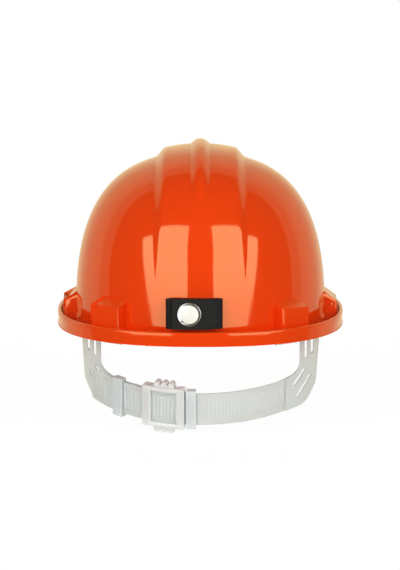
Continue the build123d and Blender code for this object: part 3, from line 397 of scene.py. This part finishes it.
shell_orange = finish_material(
    "shell_orange", moulded, (0.87, 0.050, 0.003),
    {"Shade Low": 0.98, "Peel Scale": 210.0, "Peel Depth": 0.000012, "Gloss": 0.05, "Dull": 0.09},
    IOR=1.78, Specular_Tint=(1.0, 0.92, 0.42, 1.0), Sheen_Weight=0.35, Sheen_Roughness=0.35,
    Sheen_Tint=(1.0, 0.66, 0.1, 1.0),
)

# %% [markdown]
# The nape strap, its arms and the buckle are milky white and let some light into their depth, each
# with its own slight tint. The headband and the hanger keys inside are a plain pale grey.

# %% White finishes
WHITE_SKIN = {"Shade Low": 0.97, "Peel Scale": 500.0, "Peel Depth": 0.00002, "Gloss": 0.30, "Dull": 0.42}
WHITE_DEPTH = {
    "Subsurface_Weight": 0.8, "Subsurface_Scale": 0.006, "Subsurface_Radius": (1.0, 1.0, 0.95),
}
strap_white = finish_material("strap_white", moulded, (0.82, 0.92, 0.90), WHITE_SKIN, **WHITE_DEPTH)
arm_white = finish_material("arm_white", moulded, (0.79, 0.93, 0.95), WHITE_SKIN, **WHITE_DEPTH)
buckle_white = finish_material("buckle_white", moulded, (0.90, 0.93, 0.91), WHITE_SKIN, **WHITE_DEPTH)
band_white = finish_material(
    "band_white", moulded, (0.66, 0.67, 0.64),
    {"Shade Low": 0.95, "Peel Scale": 600.0, "Peel Depth": 0.00003, "Gloss": 0.35, "Dull": 0.48},
)

# %% [markdown]
# The cord holder is black leather with a dull face, the lamp bracket black plastic, and the brow pad
# and the crown straps a little lighter. The snap's dome has an enamelled look, its rim is nickel, and
# the rivets are satin metal.

# %% Dark and metal finishes
# In both leathers, Shade Low sets how dark the painted shade in the creases is.
holder_leather = finish_material(
    "holder_leather", pebbled, (0.016, 0.016, 0.015),
    {"Shade Low": 0.75, "Grain Scale": 1500.0, "Grain Depth": 0.00006, "Gloss": 0.48, "Dull": 0.62},
    Specular_IOR_Level=0.14,
)
pad_leather = finish_material(
    "pad_leather", pebbled, (0.045, 0.04, 0.036),
    {"Shade Low": 0.7, "Grain Scale": 700.0, "Grain Depth": 0.00015, "Gloss": 0.5, "Dull": 0.68},
)
# For the webbing, Shade Low sets how dark the painted shade between the yarns is.
strap_webbing = finish_material(
    "strap_webbing", woven, (0.07, 0.072, 0.075), {"Shade Low": 0.45}, Sheen_Weight=0.3,
)
bracket_black = finish_material(
    "bracket_black", moulded, (0.025, 0.025, 0.027),
    {"Shade Low": 0.85, "Peel Scale": 900.0, "Peel Depth": 0.00004, "Gloss": 0.30, "Dull": 0.42},
)
snap_enamel = finish_material(
    "snap_enamel", moulded, (0.90, 0.91, 0.84),
    {"Shade Low": 0.98, "Peel Scale": 700.0, "Peel Depth": 0.00001, "Gloss": 0.18, "Dull": 0.26},
)
snap_nickel = finish_material(
    "snap_nickel", moulded, (0.72, 0.72, 0.71),
    {"Shade Low": 0.95, "Peel Scale": 800.0, "Peel Depth": 0.00001, "Gloss": 0.10, "Dull": 0.22},
    Metallic=1.0,
)
rivet_satin = finish_material(
    "rivet_satin", moulded, (0.72, 0.72, 0.73),
    {"Shade Low": 0.9, "Peel Scale": 900.0, "Peel Depth": 0.00002, "Gloss": 0.28, "Dull": 0.4},
    Metallic=1.0,
)

# %% [markdown]
# The shell is one moulding: a high crown with a raised panel and a ridge over it, a brim with a
# rain gutter and an upturned lip, and boxes on its flanks. The crown could be sculpted or cut from
# the engineering mesh, but its gloss shows every facet. So a grid is laid over a formula: an egg
# with full shoulders, inside a slightly larger egg that the panel's top follows. Every new skin
# stands a hair outside the model's, and the sizes are in millimetres.

# %% Egg and ramps
MM = 0.001
SKIN = 0.15
CROWN = (102.0, 119.0, 136.0)
PANEL = (108.0, 118.4, 140.8)
FULLNESS = 2.75
FARTHEST = 200.0
HALVINGS = 34


def egg_reach(size, x, turn):
    """Distance from the X axis to the egg, for a place along X and a turn from the front."""
    wide, long, high = size
    if abs(x) >= wide:
        return 0.0
    along = math.cos(turn) / long
    up = abs(math.sin(turn)) / high
    low, top = 0.0, FARTHEST
    for _ in range(HALVINGS):
        reach = (low + top) / 2
        level = ((x / wide) ** 2 + (reach * along) ** 2) ** (FULLNESS / 2) + (reach * up) ** FULLNESS
        if level > 1:
            top = reach
        else:
            low = reach
    return low


def soft_ramp(value, corner):
    """Rises from 0 to 1 in a straight line whose two corners are rounded."""
    value = min(max(value, 0.0), 1.0)
    if value < corner:
        return value * value / (2 * corner * (1 - corner))
    if value > 1 - corner:
        return 1 - (1 - value) ** 2 / (2 * corner * (1 - corner))
    return (value - corner / 2) / (1 - corner)


def soft_rise(height):
    """Height kept where positive, with a smooth start."""
    return height * height / (height + 0.2) if height > 0 else 0.0


print("crown's top above the brim:", egg_reach(CROWN, 0.0, math.pi / 2), "mm")

# %% [markdown]
# The raised panel runs from front to back. Its edges spread on the way down, and near their ends
# they close on the valleys beside them, so that each valley runs out to a point. The panel's foot
# fades into the crown, and its top arches a little from side to side.

# %% Raised panel
PANEL_HIGH, PANEL_SPAN, LOWEST_SHARE = 140, 84, 0.97
EDGE_AT_TOP, EDGE_SPREAD, EDGE_CLOSING = 27.6, 6.0, 2.4
VALLEY_AT_TOP, VALLEY_SPREAD, VALLEY_CLOSING = 37.4, 2.2, 3.2
CLOSING_START, CLOSING_RUN = 0.66, 0.34
FOOT_LEVEL, FOOT_RUN, FOOT_CORNER = 46, 22, 0.4
EDGE_CORNER = 0.34
PANEL_ARCH, ARCH_HALF_WIDTH = 2.9, 44


def panel_lines(level):
    """Where the raised panel's edge and the valley beside it lie along X, at a level."""
    share = min(max((PANEL_HIGH - level) / PANEL_SPAN, 0.0), LOWEST_SHARE)
    closing = max(0.0, (share - CLOSING_START) / CLOSING_RUN) ** 2
    edge = EDGE_AT_TOP + EDGE_SPREAD * share + EDGE_CLOSING * closing
    return edge, VALLEY_AT_TOP + VALLEY_SPREAD * share - VALLEY_CLOSING * closing


def panel_rise(x, turn, base):
    """How far the panel stands out of the crown, whose own reach is the base."""
    level = base * math.sin(turn)
    edge, valley = panel_lines(level)
    beside = (valley - abs(x)) / (valley - edge)
    if beside <= 0 or not base:
        return 0.0
    fade = soft_ramp((level - FOOT_LEVEL) / FOOT_RUN, FOOT_CORNER)
    arch = PANEL_ARCH * (1 - (x / ARCH_HALF_WIDTH) ** 2) * math.sin(turn) ** 4
    raised = soft_rise(egg_reach(PANEL, x, turn) - base) + arch
    return soft_ramp(beside, EDGE_CORNER) * fade * raised


print("panel's edge and valley at the top:", panel_lines(PANEL_HIGH))
print("panel's edge and valley at the foot:", panel_lines(FOOT_LEVEL))

# %% [markdown]
# A narrow ridge lies along the top of the panel. It has a round back and a soft foot, and it sinks
# into the panel before and behind, where the camera sees it end in a pale V.

# %% Ridge
RIDGE_HEIGHT = 4.2
RIDGE_FOOT = 8.0
RIDGE_ENDS = (66.0, 108.0)
BACK_POWER, FOOT_POWER = 2.2, 1.3
RUN_OUT_CORNER, RUN_OUT_POWER = 0.45, 1.2


def ridge_rise(x, along):
    """Height of the ridge over the panel, at a distance along Y from the top."""
    start, end = RIDGE_ENDS
    if abs(x) >= RIDGE_FOOT or along >= end:
        return 0.0
    bulge = (1 - (abs(x) / RIDGE_FOOT) ** BACK_POWER) ** FOOT_POWER
    run_out = soft_ramp((end - along) / (end - start), RUN_OUT_CORNER) ** RUN_OUT_POWER
    return bulge * run_out * RIDGE_HEIGHT


def crown_point(x, turn):
    """Point of the crown's outside, in millimetres."""
    reach = egg_reach(CROWN, x, turn)
    reach += panel_rise(x, turn, reach)
    reach += ridge_rise(x, abs(reach * math.cos(turn)))
    if reach:
        reach += SKIN
    return Vector((x, reach * math.cos(turn), reach * math.sin(turn)))


print("top of the ridge:", tuple(crown_point(0.0, math.pi / 2)))

# %% [markdown]
# The crown's grid has columns that follow the ridge, the panel's edges and the valleys, so all of
# them stay crisp. They lie closest together on the ridge, where the surface bends most.

# %% Columns of the crown
RIDGE_COLUMNS = [0, 1.2, 2.3, 3.3, 4.2, 5.0, 5.8, 6.5, 7.2, 8.0, 8.8, 9.6, 10.6]
PANEL_STEPS, VALLEY_STEPS, FLANK_STEPS = 8, 8, 26
PANEL_MIDLINE = 33.0
VALLEY_MARGIN = 1.2
half_columns = len(RIDGE_COLUMNS) - 1 + PANEL_STEPS + VALLEY_STEPS + 1 + FLANK_STEPS


def crown_column(column, turn):
    """Place along X of one column of the crown's grid, following the panel's lines."""
    side = -1 if column < half_columns else 1
    step = abs(column - half_columns)
    if step < len(RIDGE_COLUMNS):
        return side * RIDGE_COLUMNS[step]
    step -= len(RIDGE_COLUMNS) - 1
    start = RIDGE_COLUMNS[-1]
    edge, valley = panel_lines(egg_reach(CROWN, PANEL_MIDLINE, turn) * math.sin(turn))
    if step <= PANEL_STEPS:
        return side * (start + (edge - start) * step / PANEL_STEPS)
    step -= PANEL_STEPS
    if step <= VALLEY_STEPS:
        return side * (edge + (valley - edge) * step / VALLEY_STEPS)
    step -= VALLEY_STEPS
    first = math.asin((valley + VALLEY_MARGIN) / CROWN[0])
    angle = first + (math.pi / 2 - first) * (step - 1) / FLANK_STEPS
    return side * CROWN[0] * math.sin(angle)


print("columns of the crown's grid:", 2 * half_columns)

# %% [markdown]
# The rows run from the front, over the top, to the back. At the two ends of the flanks they meet in
# a point, where the doubled corners are merged. The same grid helper makes the lip, the brow pad and
# the webbing later: it lays out flat quads and then moves each corner to where a formula says.

# %% Crown
CROWN_ROWS = 132


def mapped_grid(columns, rows, place):
    """Grid of quads whose corner (column, row) lies where place() says, with a UV map."""
    bm = bmesh.new()
    bm.loops.layers.uv.new("UVMap")
    bmesh.ops.create_grid(bm, x_segments=columns, y_segments=rows, size=0.5, calc_uvs=True)
    for corner in bm.verts:
        column = round((corner.co.x + 0.5) * columns)
        row = round((corner.co.y + 0.5) * rows)
        corner.co = place(column, row) * MM
    return bm


def crown_place(column, row):
    """Corner of the crown's grid."""
    turn = math.pi * row / CROWN_ROWS
    return crown_point(crown_column(column, turn), turn)


crown = mapped_grid(2 * half_columns, CROWN_ROWS, crown_place)
bmesh.ops.remove_doubles(crown, verts=crown.verts, dist=0.02 * MM)
bmesh.ops.recalc_face_normals(crown, faces=crown.faces)
if sum(face.normal.dot(face.calc_center_median()) for face in crown.faces) < 0:
    bmesh.ops.reverse_faces(crown, faces=crown.faces)
print("crown has", len(crown.faces), "faces")

# %% [markdown]
# The brim's outline is a wide oval, longer at the peak, where the brim also bends down. Ovals with a
# power other than two have fuller or flatter shoulders, so one helper serves the outline here and
# the rounded outlines of the soft pieces later.

# %% Brim outline
BRIM_HALF_WIDTH = 116.5
BRIM_FRONT, FRONT_FULLNESS = 152.0, 2.1
BRIM_REAR, REAR_FULLNESS = 131.0, 2.35
PEAK_START, PEAK_BEND = 60.0, 520.0


def brim_drop(along):
    """How far the brim has dipped at a place along Y: it bends down towards the peak."""
    run = max(along - PEAK_START, 0.0)
    return PEAK_BEND - math.sqrt(PEAK_BEND**2 - run * run)


def brim_oval(front):
    """Length and fullness of the brim's oval before or behind the middle."""
    return (BRIM_FRONT, FRONT_FULLNESS) if front else (BRIM_REAR, REAR_FULLNESS)


def signed_power(value, power):
    """Power of a number's size with its sign kept: it squares or rounds an oval."""
    return math.copysign(abs(value) ** power, value)


def brim_point(turn, inset, height):
    """Point of the brim, from its turn, its inset from the outline and its height."""
    long, fullness = brim_oval(math.cos(turn) > 0)
    x = signed_power(math.sin(turn), 2 / fullness) * (BRIM_HALF_WIDTH - inset)
    y = signed_power(math.cos(turn), 2 / fullness) * (long - inset)
    return Vector((x, y, height - brim_drop(y)))


print("the peak's tip dips by", round(brim_drop(BRIM_FRONT), 2), "mm")

# %% [markdown]
# The brim's upturned lip has a rounded top and falls into the rain gutter. It could be a curve with
# a bevel profile, but a closed grid swept round the outline lets the peak dip with the rest. The
# profile is a short list of insets and heights, from the lip's foot over its top into the gutter.

# %% Brim lip
BRIM_STEPS = 288
LIP_PROFILE = [
    (0.6, -0.05), (0.52, 1.0), (0.13, 6.0), (-SKIN, 9.6), (0.05, 10.5), (0.45, 11.15), (1.0, 11.5),
    (1.6, 11.6), (2.2, 11.4), (2.7, 10.9), (3.0, 10.2), (3.15, 9.2), (3.15, 6.0), (3.3, 4.5),
    (3.9, 3.65), (4.9, 3.3), (6.2, 3.25),
]

lip = mapped_grid(
    BRIM_STEPS, len(LIP_PROFILE) - 1,
    lambda column, row: brim_point(2 * math.pi * column / BRIM_STEPS, *LIP_PROFILE[row]),
)
bmesh.ops.remove_doubles(lip, verts=lip.verts, dist=0.01 * MM)
bmesh.ops.recalc_face_normals(lip, faces=lip.faces)
foremost = max(lip.faces, key=lambda face: face.calc_center_median().y)
if foremost.normal.y < 0:
    bmesh.ops.reverse_faces(lip, faces=lip.faces)
print("lip has", len(lip.faces), "faces")

# %% [markdown]
# Boxes stand on the shell's flanks. Each is a wedge with a sloping top, softened corners and framed
# flanks. A cube is pulled to shape, its edges are bevelled, and each flank is inset twice to leave a
# raised frame round a sunken field. Its bottom is left out, because it stands in the brim.

# %% One flank box
BOX_BACK, BOX_FOOT = 94.0, 2.8
BOX_ROUNDING, BEVEL_FROM = 1.6, 10.0
FRAME_WIDTH, FRAME_SLOPE, FIELD_DEPTH = 1.7, 1.1, 1.0


def directions(angle):
    """Outward and sideways directions for an angle from +X."""
    outward = Vector((math.cos(angle), math.sin(angle), 0.0))
    return outward, Vector((-math.sin(angle), math.cos(angle), 0.0))


def flank_box(angle, width, reach, front_height, back_height):
    """Open-bottomed wedge on the shell's flank."""
    outward, sideways = directions(angle)
    bm = bmesh.new()
    bm.loops.layers.uv.new("UVMap")
    bmesh.ops.create_cube(bm, size=1.0)
    for corner in bm.verts:
        out, side, top = (value > 0 for value in corner.co)
        height = (front_height if out else back_height) if top else BOX_FOOT
        distance_out = reach + SKIN if out else BOX_BACK
        across = (1 if side else -1) * (width / 2 + SKIN)
        corner.co = (outward * distance_out + sideways * across + Vector((0, 0, height + SKIN))) * MM
    front = max(bm.faces, key=lambda face: face.normal.dot(outward))
    edges = [edge for edge in front.edges if max(v.co.z for v in edge.verts) > BEVEL_FROM * MM]
    roof = max(bm.faces, key=lambda face: face.normal.z)
    edges += [edge for edge in roof.edges if edge not in edges]
    bmesh.ops.bevel(
        bm, geom=edges, offset=BOX_ROUNDING * MM, offset_type="OFFSET", affect="EDGES", segments=4,
        profile=0.5, material=-1,
    )
    for way in (1, -1):
        flank = max(
            bm.faces, key=lambda face: (round(way * face.normal.dot(sideways), 3), face.calc_area())
        )
        for width_in, depth in ((FRAME_WIDTH, 0.0), (FRAME_SLOPE, -FIELD_DEPTH)):
            bmesh.ops.inset_region(
                bm, faces=[flank], thickness=width_in * MM, depth=depth * MM, use_even_offset=True
            )
    bottom = min(bm.faces, key=lambda face: face.calc_center_median().z)
    bmesh.ops.delete(bm, geom=[bottom], context="FACES_ONLY")
    return bm


print("the boxes' corners are rounded by", BOX_ROUNDING, "mm")

# %% [markdown]
# There are six of them: four pockets at the corners, which hold the suspension, and two boxes at the
# sides, whose slots take accessories. Their sizes are the width, the reach and two heights.

# %% Flank boxes
POCKET_TURN = math.radians(38.8)
POCKET_SIZES = (26.0, 122.5, 26.2, 36.0)
SIDE_BOX_SIZES = (32.0, 111.5, 18.5, 27.5)


def corner_angle(turn, end, side):
    """Angle from +X of a pocket that is turned away from the front or back, at one corner."""
    return math.atan2(end * math.cos(turn), side * math.sin(turn))


boxes = [
    flank_box(corner_angle(POCKET_TURN, end, side), *POCKET_SIZES) for end in (-1, 1) for side in (-1, 1)
]
boxes += [flank_box(angle, *SIDE_BOX_SIZES) for angle in (0.0, math.pi)]
print("flank boxes:", len(boxes))

# %% [markdown]
# The inside of the shell, the boxes' hollows and the mounting boss on the front come from the
# engineering mesh. A copy of it is merged, and its own pockets, which have plain sides, are brought
# down to the brim under the bevelled boxes, all but the slots in them.

# %% Inside of the shell
MODEL_FULLNESS = 2.6
MODEL_POCKET_TURN = math.radians(40)
BRIM_TOP = 3.3
SLOT_ASIDE, SLOT_OUT, SLOT_HIGH = 10.2, 119.7, 22.3
BOX_ASIDE, BOX_OUT, BOX_HIGH = 13.15, 122.7, 40


def merged_copy(node_name):
    """Bmesh copy of a model piece with its loose triangles joined."""
    node = bpy.data.objects[node_name]
    bm = bmesh.new()
    bm.from_mesh(node.data)
    bm.transform(node.matrix_world)
    bmesh.ops.remove_doubles(bm, verts=bm.verts, dist=0.004 * MM)
    return bm


def egg_gap(size, point):
    """Rough distance of a point outside the model's egg, in millimetres."""
    x, y, z = point / MM
    wide, long, high = size
    flat = math.hypot(x / wide, y / long) ** MODEL_FULLNESS
    level = flat + (abs(z) / high) ** MODEL_FULLNESS
    return (level ** (1 / MODEL_FULLNESS) - 1) * (point.length / MM)


def flatten_pocket(point):
    """Brings a corner of the model's plain pocket down to the brim, under the bevelled box."""
    if point.z < (BRIM_TOP + 0.1) * MM or egg_gap(CROWN, point) < -0.3:
        return
    across_brim = Vector((abs(point.x), abs(point.y)))
    outward = Vector((math.sin(MODEL_POCKET_TURN), math.cos(MODEL_POCKET_TURN)))
    out = across_brim.dot(outward) / MM
    aside = abs(across_brim.dot(Vector((outward.y, -outward.x)))) / MM
    in_slot = aside < SLOT_ASIDE and out < SLOT_OUT and point.z < SLOT_HIGH * MM
    if aside < BOX_ASIDE and out < BOX_OUT and point.z < BOX_HIGH * MM and not in_slot:
        point.z = BRIM_TOP * MM


inside = merged_copy("shell")
for corner in inside.verts:
    flatten_pocket(corner.co)
bmesh.ops.dissolve_degenerate(inside, dist=0.001 * MM, edges=inside.edges[:])
inside.normal_update()
print("model's shell:", len(inside.faces), "faces")

# %% [markdown]
# Some faces of the copy are now covered by the new crown or lip. Two tests tell whether a corner
# lies there: the crown's test looks at the eggs, the panel and the valleys, and the lip's test at the
# distance from the lip's inner wall.

# %% Tests for covered corners
TOUCHING, SUNK = 0.5, -0.7
CROWN_LOW, CAP_LEVEL = 1, 95
PANEL_HALF_WIDTH = 40
VALLEY_NEAR, VALLEY_FAR, VALLEY_LOW, VALLEY_PROUD = 30, 41, 50, 7
LIP_INSET, LIP_SUNK, LIP_LOW, LIP_HIGH = 3.0, -0.6, -0.3, 12


def under_crown(point):
    """Whether a point of the model lies on the outside of the crown."""
    x, _, z = point / MM
    gap = egg_gap(CROWN, point)
    if z < CROWN_LOW or gap < SUNK:
        return False
    if abs(gap) < TOUCHING or z > CAP_LEVEL:
        return True
    on_panel = abs(x) < PANEL_HALF_WIDTH and abs(egg_gap(PANEL, point)) < TOUCHING
    in_valley = VALLEY_NEAR < abs(x) < VALLEY_FAR and z > VALLEY_LOW and gap < VALLEY_PROUD
    return on_panel or in_valley


def lip_gap(point):
    """Rough distance of a point outside the inner wall of the lip."""
    x, y, _ = point / MM
    long, fullness = brim_oval(y > 0)
    level = abs(x / (BRIM_HALF_WIDTH - LIP_INSET)) ** fullness + abs(y / (long - LIP_INSET)) ** fullness
    return (level ** (1 / fullness) - 1) * math.hypot(x, y)


def above_brim(point):
    """Height of a point over the brim's underside."""
    return point.z / MM + brim_drop(point.y / MM)


def under_lip(point):
    """Whether a point of the model lies on the walls or the top of the brim's lip."""
    return lip_gap(point) > LIP_SUNK and LIP_LOW < above_brim(point) < LIP_HIGH


print("corners under the crown:", sum(under_crown(corner.co) for corner in inside.verts))
print("corners under the lip:", sum(under_lip(corner.co) for corner in inside.verts))

# %% [markdown]
# The covered faces are taken out, so that no two skins fight for the same place. A face goes when
# all its corners lie on the model's crown and it looks outward, or when they lie on the lip's walls
# or its top.

# %% Covered faces
RIDGE_LEVEL, LIP_SHOULDER = 140.5, 8


def is_covered(face):
    """Whether the crown or the lip lies over a face of the model's shell."""
    middle = face.calc_center_median()
    points = [corner.co for corner in face.verts]
    looks_out = face.normal.dot(middle.normalized()) > 0.25 or middle.z > RIDGE_LEVEL * MM
    if looks_out and all(under_crown(point) for point in points):
        return True
    if not all(under_lip(point) for point in points):
        return False
    return abs(face.normal.z) < 0.9 or all(above_brim(point) > LIP_SHOULDER for point in points)


covered = [face for face in inside.faces if is_covered(face)]
bmesh.ops.delete(inside, geom=covered, context="FACES")
print("model faces taken out:", len(covered), "kept:", len(inside.faces))

# %% [markdown]
# All parts of the shell become one object. Its flat faces keep flat reflections next to their
# bevels, because the normals are weighted by the faces' size.

# %% Shell
def add_part(whole, part):
    """Adds one bmesh to another through a mesh, and frees it."""
    step = bpy.data.meshes.new("step")
    part.to_mesh(step)
    part.free()
    whole.from_mesh(step)
    bpy.data.meshes.remove(step)


whole = bmesh.new()
whole.loops.layers.uv.new("UVMap")
for part in [inside, crown, lip, *boxes]:
    add_part(whole, part)
helmet_shell = object_of("helmet_shell", whole)
helmet_shell.data.materials.clear()
helmet_shell.data.materials.append(shell_orange)
evened = helmet_shell.modifiers.new("flat faces", "WEIGHTED_NORMAL")
evened.keep_sharp = True
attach(helmet_shell, "shell")
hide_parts("shell")
print("helmet shell:", len(helmet_shell.data.polygons), "faces")

# %% [markdown]
# The smaller moulded pieces keep the shape of the model. Real mouldings have no razor edges, so each
# copy of the model's mesh gets a narrow bevel on its sharp edges, and its flat facets are joined
# first so that the bevel runs clean.

# %% Moulded pieces
FLAT_ANGLE, EDGE_ANGLE = 0.4, 30.0


def softened_piece(name, node_name, body, material, width):
    """Copy of a model piece with softened edges, in millimetres, and its own finish."""
    bm = merged_copy(node_name)
    bmesh.ops.dissolve_limit(
        bm, angle_limit=math.radians(FLAT_ANGLE), use_dissolve_boundaries=False, verts=bm.verts,
        edges=bm.edges,
    )
    piece = object_of(name, bm)
    piece.data.materials.clear()
    piece.data.materials.append(material)
    soften = piece.modifiers.new("soft_edges", "BEVEL")
    soften.width = width * MM
    soften.segments = 2
    soften.limit_method = "ANGLE"
    soften.angle_limit = math.radians(EDGE_ANGLE)
    soften.harden_normals = True
    if body:
        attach(piece, body)
    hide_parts(node_name)
    print(piece.name, len(piece.data.polygons), "faces")
    return piece


SUSPENSION_PIECES = {
    "nape_arm_left": ("suspension", arm_white, 0.35),
    "nape_tongue": ("nape_tongue", strap_white, 0.12),
    "adjuster_buckle": ("suspension", buckle_white, 0.35),
    "locking_pawl": ("locking_pawl", buckle_white, 0.35),
    "nape_studs": ("suspension", strap_white, 0.2),
    "hanger_key_front_left": ("suspension", band_white, 0.35),
    "hanger_key_front_right": ("suspension", band_white, 0.35),
    "hanger_key_rear_left": ("suspension", band_white, 0.35),
    "hanger_key_rear_right": ("suspension", band_white, 0.35),
    "headband": ("suspension", band_white, 0.3),
    "headband_studs": ("suspension", band_white, 0.2),
    "crown_rivet": ("suspension", band_white, 0.3),
}
for node_name, (body, material, width) in SUSPENSION_PIECES.items():
    softened_piece("moulded_" + node_name, node_name, body, material, width)

# %% [markdown]
# In the photograph the brim hides the whole headband. The model's band hangs a hair lower, so its
# lower edge is trimmed by about a millimetre.

# %% Headband's edge
BAND_TRIM = 1.1
EDGE_REACH = 0.4
band = bpy.data.objects["moulded_headband"]
band_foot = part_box("headband")[0][2]
for corner in band.data.vertices:
    if corner.co.z < band_foot + EDGE_REACH * MM:
        corner.co.z = band_foot + BAND_TRIM * MM
print("headband's lower edge is now at", round(band_foot / MM + BAND_TRIM, 2), "mm")

# %% [markdown]
# The right arm is fixed to its hanger key at the top and joined to the ribbed tongue at the bottom.
# When the strap is let out, the arm bends; here its transform is baked into its mesh, on no body.

# %% Right nape arm
bending_arm = softened_piece("moulded_nape_arm_right", "nape_arm_right", None, arm_white, 0.35)
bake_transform(bending_arm)

# %% [markdown]
# The holder is a strip of black leather that folds round a lamp's cord and closes with a snap. The
# lamp bracket on the front is riveted through the shell to a plate behind it.

# %% Cord holder, snap and bracket
HARDWARE = {
    "cord_strap": ("shell", holder_leather, 0.4),
    "cord_flap": ("cord_flap", holder_leather, 0.4),
    "snap_cap": ("cord_flap", snap_nickel, 0.1),
    "snap_socket": ("cord_flap", snap_nickel, 0.1),
    "snap_stud": ("shell", snap_nickel, 0.1),
    "cord_strap_rivet": ("shell", rivet_satin, 0.15),
    "cord_strap_washer": ("shell", rivet_satin, 0.15),
    "lamp_bracket": ("shell", bracket_black, 0.4),
    "bracket_backing_plate": ("shell", rivet_satin, 0.3),
    "bracket_rivets": ("shell", rivet_satin, 0.2),
}
for node_name, (body, material, width) in HARDWARE.items():
    softened_piece("soft_" + node_name, node_name, body, material, width)
print("pieces of hardware:", len(HARDWARE))

# %% [markdown]
# The snap's cap has a nickel rim and a white enamelled dome. The dome's faces are those whose
# farthest corner lies near the cap's middle, and they get the second material.

# %% Enamelled dome
ENAMEL_RADIUS = 7.9
cap = bpy.data.objects["soft_snap_cap"]
cap.data.materials.append(snap_enamel)
low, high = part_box("snap_cap")
middle_x, middle_z = ((low[axis] + high[axis]) / 2 for axis in (0, 2))
enamelled = 0
for face in cap.data.polygons:
    corners = [cap.data.vertices[index].co for index in face.vertices]
    away = max(math.hypot(co.x - middle_x, co.z - middle_z) for co in corners)
    if away < ENAMEL_RADIUS * MM and face.normal.y < -0.2:
        face.material_index = 1
        enamelled += 1
print("enamelled faces:", enamelled)

# %% [markdown]
# Soft pieces come last. The brow pad is a thin foam cushion in a leather skin, fuller in the middle
# than at its edges, so it is a closed tube whose outline swells, with a stitched channel along the
# side that touches the forehead.

# %% Brow pad
PAD_OUTER = (83.7, 98.7)
PAD_STATIONS, PAD_POINTS = 64, 28
PAD_HALF_ANGLE = 33.0
PAD_HALF_THICKNESS, PAD_HALF_HEIGHT, PAD_LEVEL = 1.45, 10.9, 5.0
TIP_START, TIP_RUN, TIP_SHARE = 0.88, 0.12, 0.02
CHANNEL_DEPTH, CHANNEL_WIDTH = 0.35, 1.1


def closed_skin(bm):
    """Merges the seams of a swept tube, closes its ends and turns its faces outward."""
    bmesh.ops.remove_doubles(bm, verts=bm.verts, dist=0.01 * MM)
    bmesh.ops.holes_fill(bm, edges=bm.edges)
    bmesh.ops.recalc_face_normals(bm, faces=bm.faces)


def pad_place(column, row):
    """Point of the brow pad: a station round the forehead and a turn round its outline."""
    along = 2 * column / PAD_STATIONS - 1
    tip = max(0.0, (abs(along) - TIP_START) / TIP_RUN)
    full = math.sqrt(max(0.0, 1 - tip**2.4)) * (1 - TIP_SHARE) + TIP_SHARE
    turn = 2 * math.pi * row / PAD_POINTS
    out = signed_power(math.cos(turn), 0.75) * PAD_HALF_THICKNESS * full**0.7
    up = signed_power(math.sin(turn), 0.45) * PAD_HALF_HEIGHT * full
    if out < 0:
        out += CHANNEL_DEPTH * math.exp(-((up / CHANNEL_WIDTH) ** 2)) * full
    wide, long = PAD_OUTER
    angle = math.radians(PAD_HALF_ANGLE) * along
    direction = Vector((math.sin(angle), math.cos(angle), 0.0))
    reach = 1 / math.hypot(direction.x / wide, direction.y / long) - PAD_HALF_THICKNESS - SKIN
    return direction * (reach + out) + Vector((0, 0, PAD_LEVEL + up))


pad = mapped_grid(PAD_STATIONS, PAD_POINTS, pad_place)
closed_skin(pad)
brow_cushion = object_of("brow_cushion", pad)
brow_cushion.data.materials.append(pad_leather)
rounder = brow_cushion.modifiers.new("rounder", "SUBSURF")
rounder.levels = rounder.render_levels = 1
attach(brow_cushion, "suspension")
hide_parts("brow_pad")
print("brow cushion:", len(brow_cushion.data.polygons), "faces")

# %% [markdown]
# The crown straps are woven webbing, swept along the arc that passes both keys and the top, with a
# sewn hem that stops each end in its key. A flat strip with thickness could do, but the swept tube
# has rounded selvedges, and its UV map runs along the weave.

# %% Crown webbing
WEBBING_REACH, WEBBING_END = 98.48, 6.3
WEBBING_WIDTH, WEBBING_THICK = 20.0, 1.3
WEBBING_STATIONS, RIBBON_POINTS = 120, 24
HEM_COLUMNS, HEM_POINTS = 10, 16
HEM_NARROWER, HEM_RISE = 0.2, 1.2
HEM_HALF_THICKNESS, HEM_HALF_HEIGHT = 1.45, 1.15


def webbing_piece(name, node_name, side, apex):
    """Woven ribbon on the arc through both keys and the apex, with a hem at each end."""
    outward, sideways = directions(corner_angle(MODEL_POCKET_TURN, 1, side))
    rise = apex - WEBBING_END
    radius = (WEBBING_REACH**2 + rise**2) / (2 * rise)
    half_turn = math.atan2(WEBBING_REACH, radius - rise)

    def ribbon_place(column, row):
        lean = half_turn * (2 * column / WEBBING_STATIONS - 1)
        normal = outward * math.sin(lean) + Vector((0, 0, math.cos(lean)))
        turn = 2 * math.pi * row / RIBBON_POINTS
        across = signed_power(math.cos(turn), 0.35) * WEBBING_WIDTH / 2
        thick = signed_power(math.sin(turn), 0.6) * WEBBING_THICK / 2
        return Vector((0, 0, apex - radius)) + normal * (radius + thick) + sideways * across

    def hem_place(end, column, row):
        turn = 2 * math.pi * row / HEM_POINTS
        across = (column / HEM_COLUMNS - 0.5) * (WEBBING_WIDTH - HEM_NARROWER)
        out = end * WEBBING_REACH + signed_power(math.cos(turn), 0.6) * HEM_HALF_THICKNESS
        up = WEBBING_END + HEM_RISE + signed_power(math.sin(turn), 0.6) * HEM_HALF_HEIGHT
        return outward * out + sideways * across + Vector((0, 0, up))

    ribbon = mapped_grid(WEBBING_STATIONS, RIBBON_POINTS, ribbon_place)
    for end in (-1, 1):
        add_part(ribbon, mapped_grid(
            HEM_COLUMNS, HEM_POINTS, lambda column, row: hem_place(end, column, row)
        ))
    closed_skin(ribbon)
    piece = object_of(name, ribbon)
    piece.data.materials.append(strap_webbing)
    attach(piece, "suspension")
    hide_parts(node_name)
    print(name, len(piece.data.polygons), "faces")


webbing_piece("webbing_lower", "crown_strap_lower", 1, 96.0)
webbing_piece("webbing_upper", "crown_strap_upper", -1, 98.62)
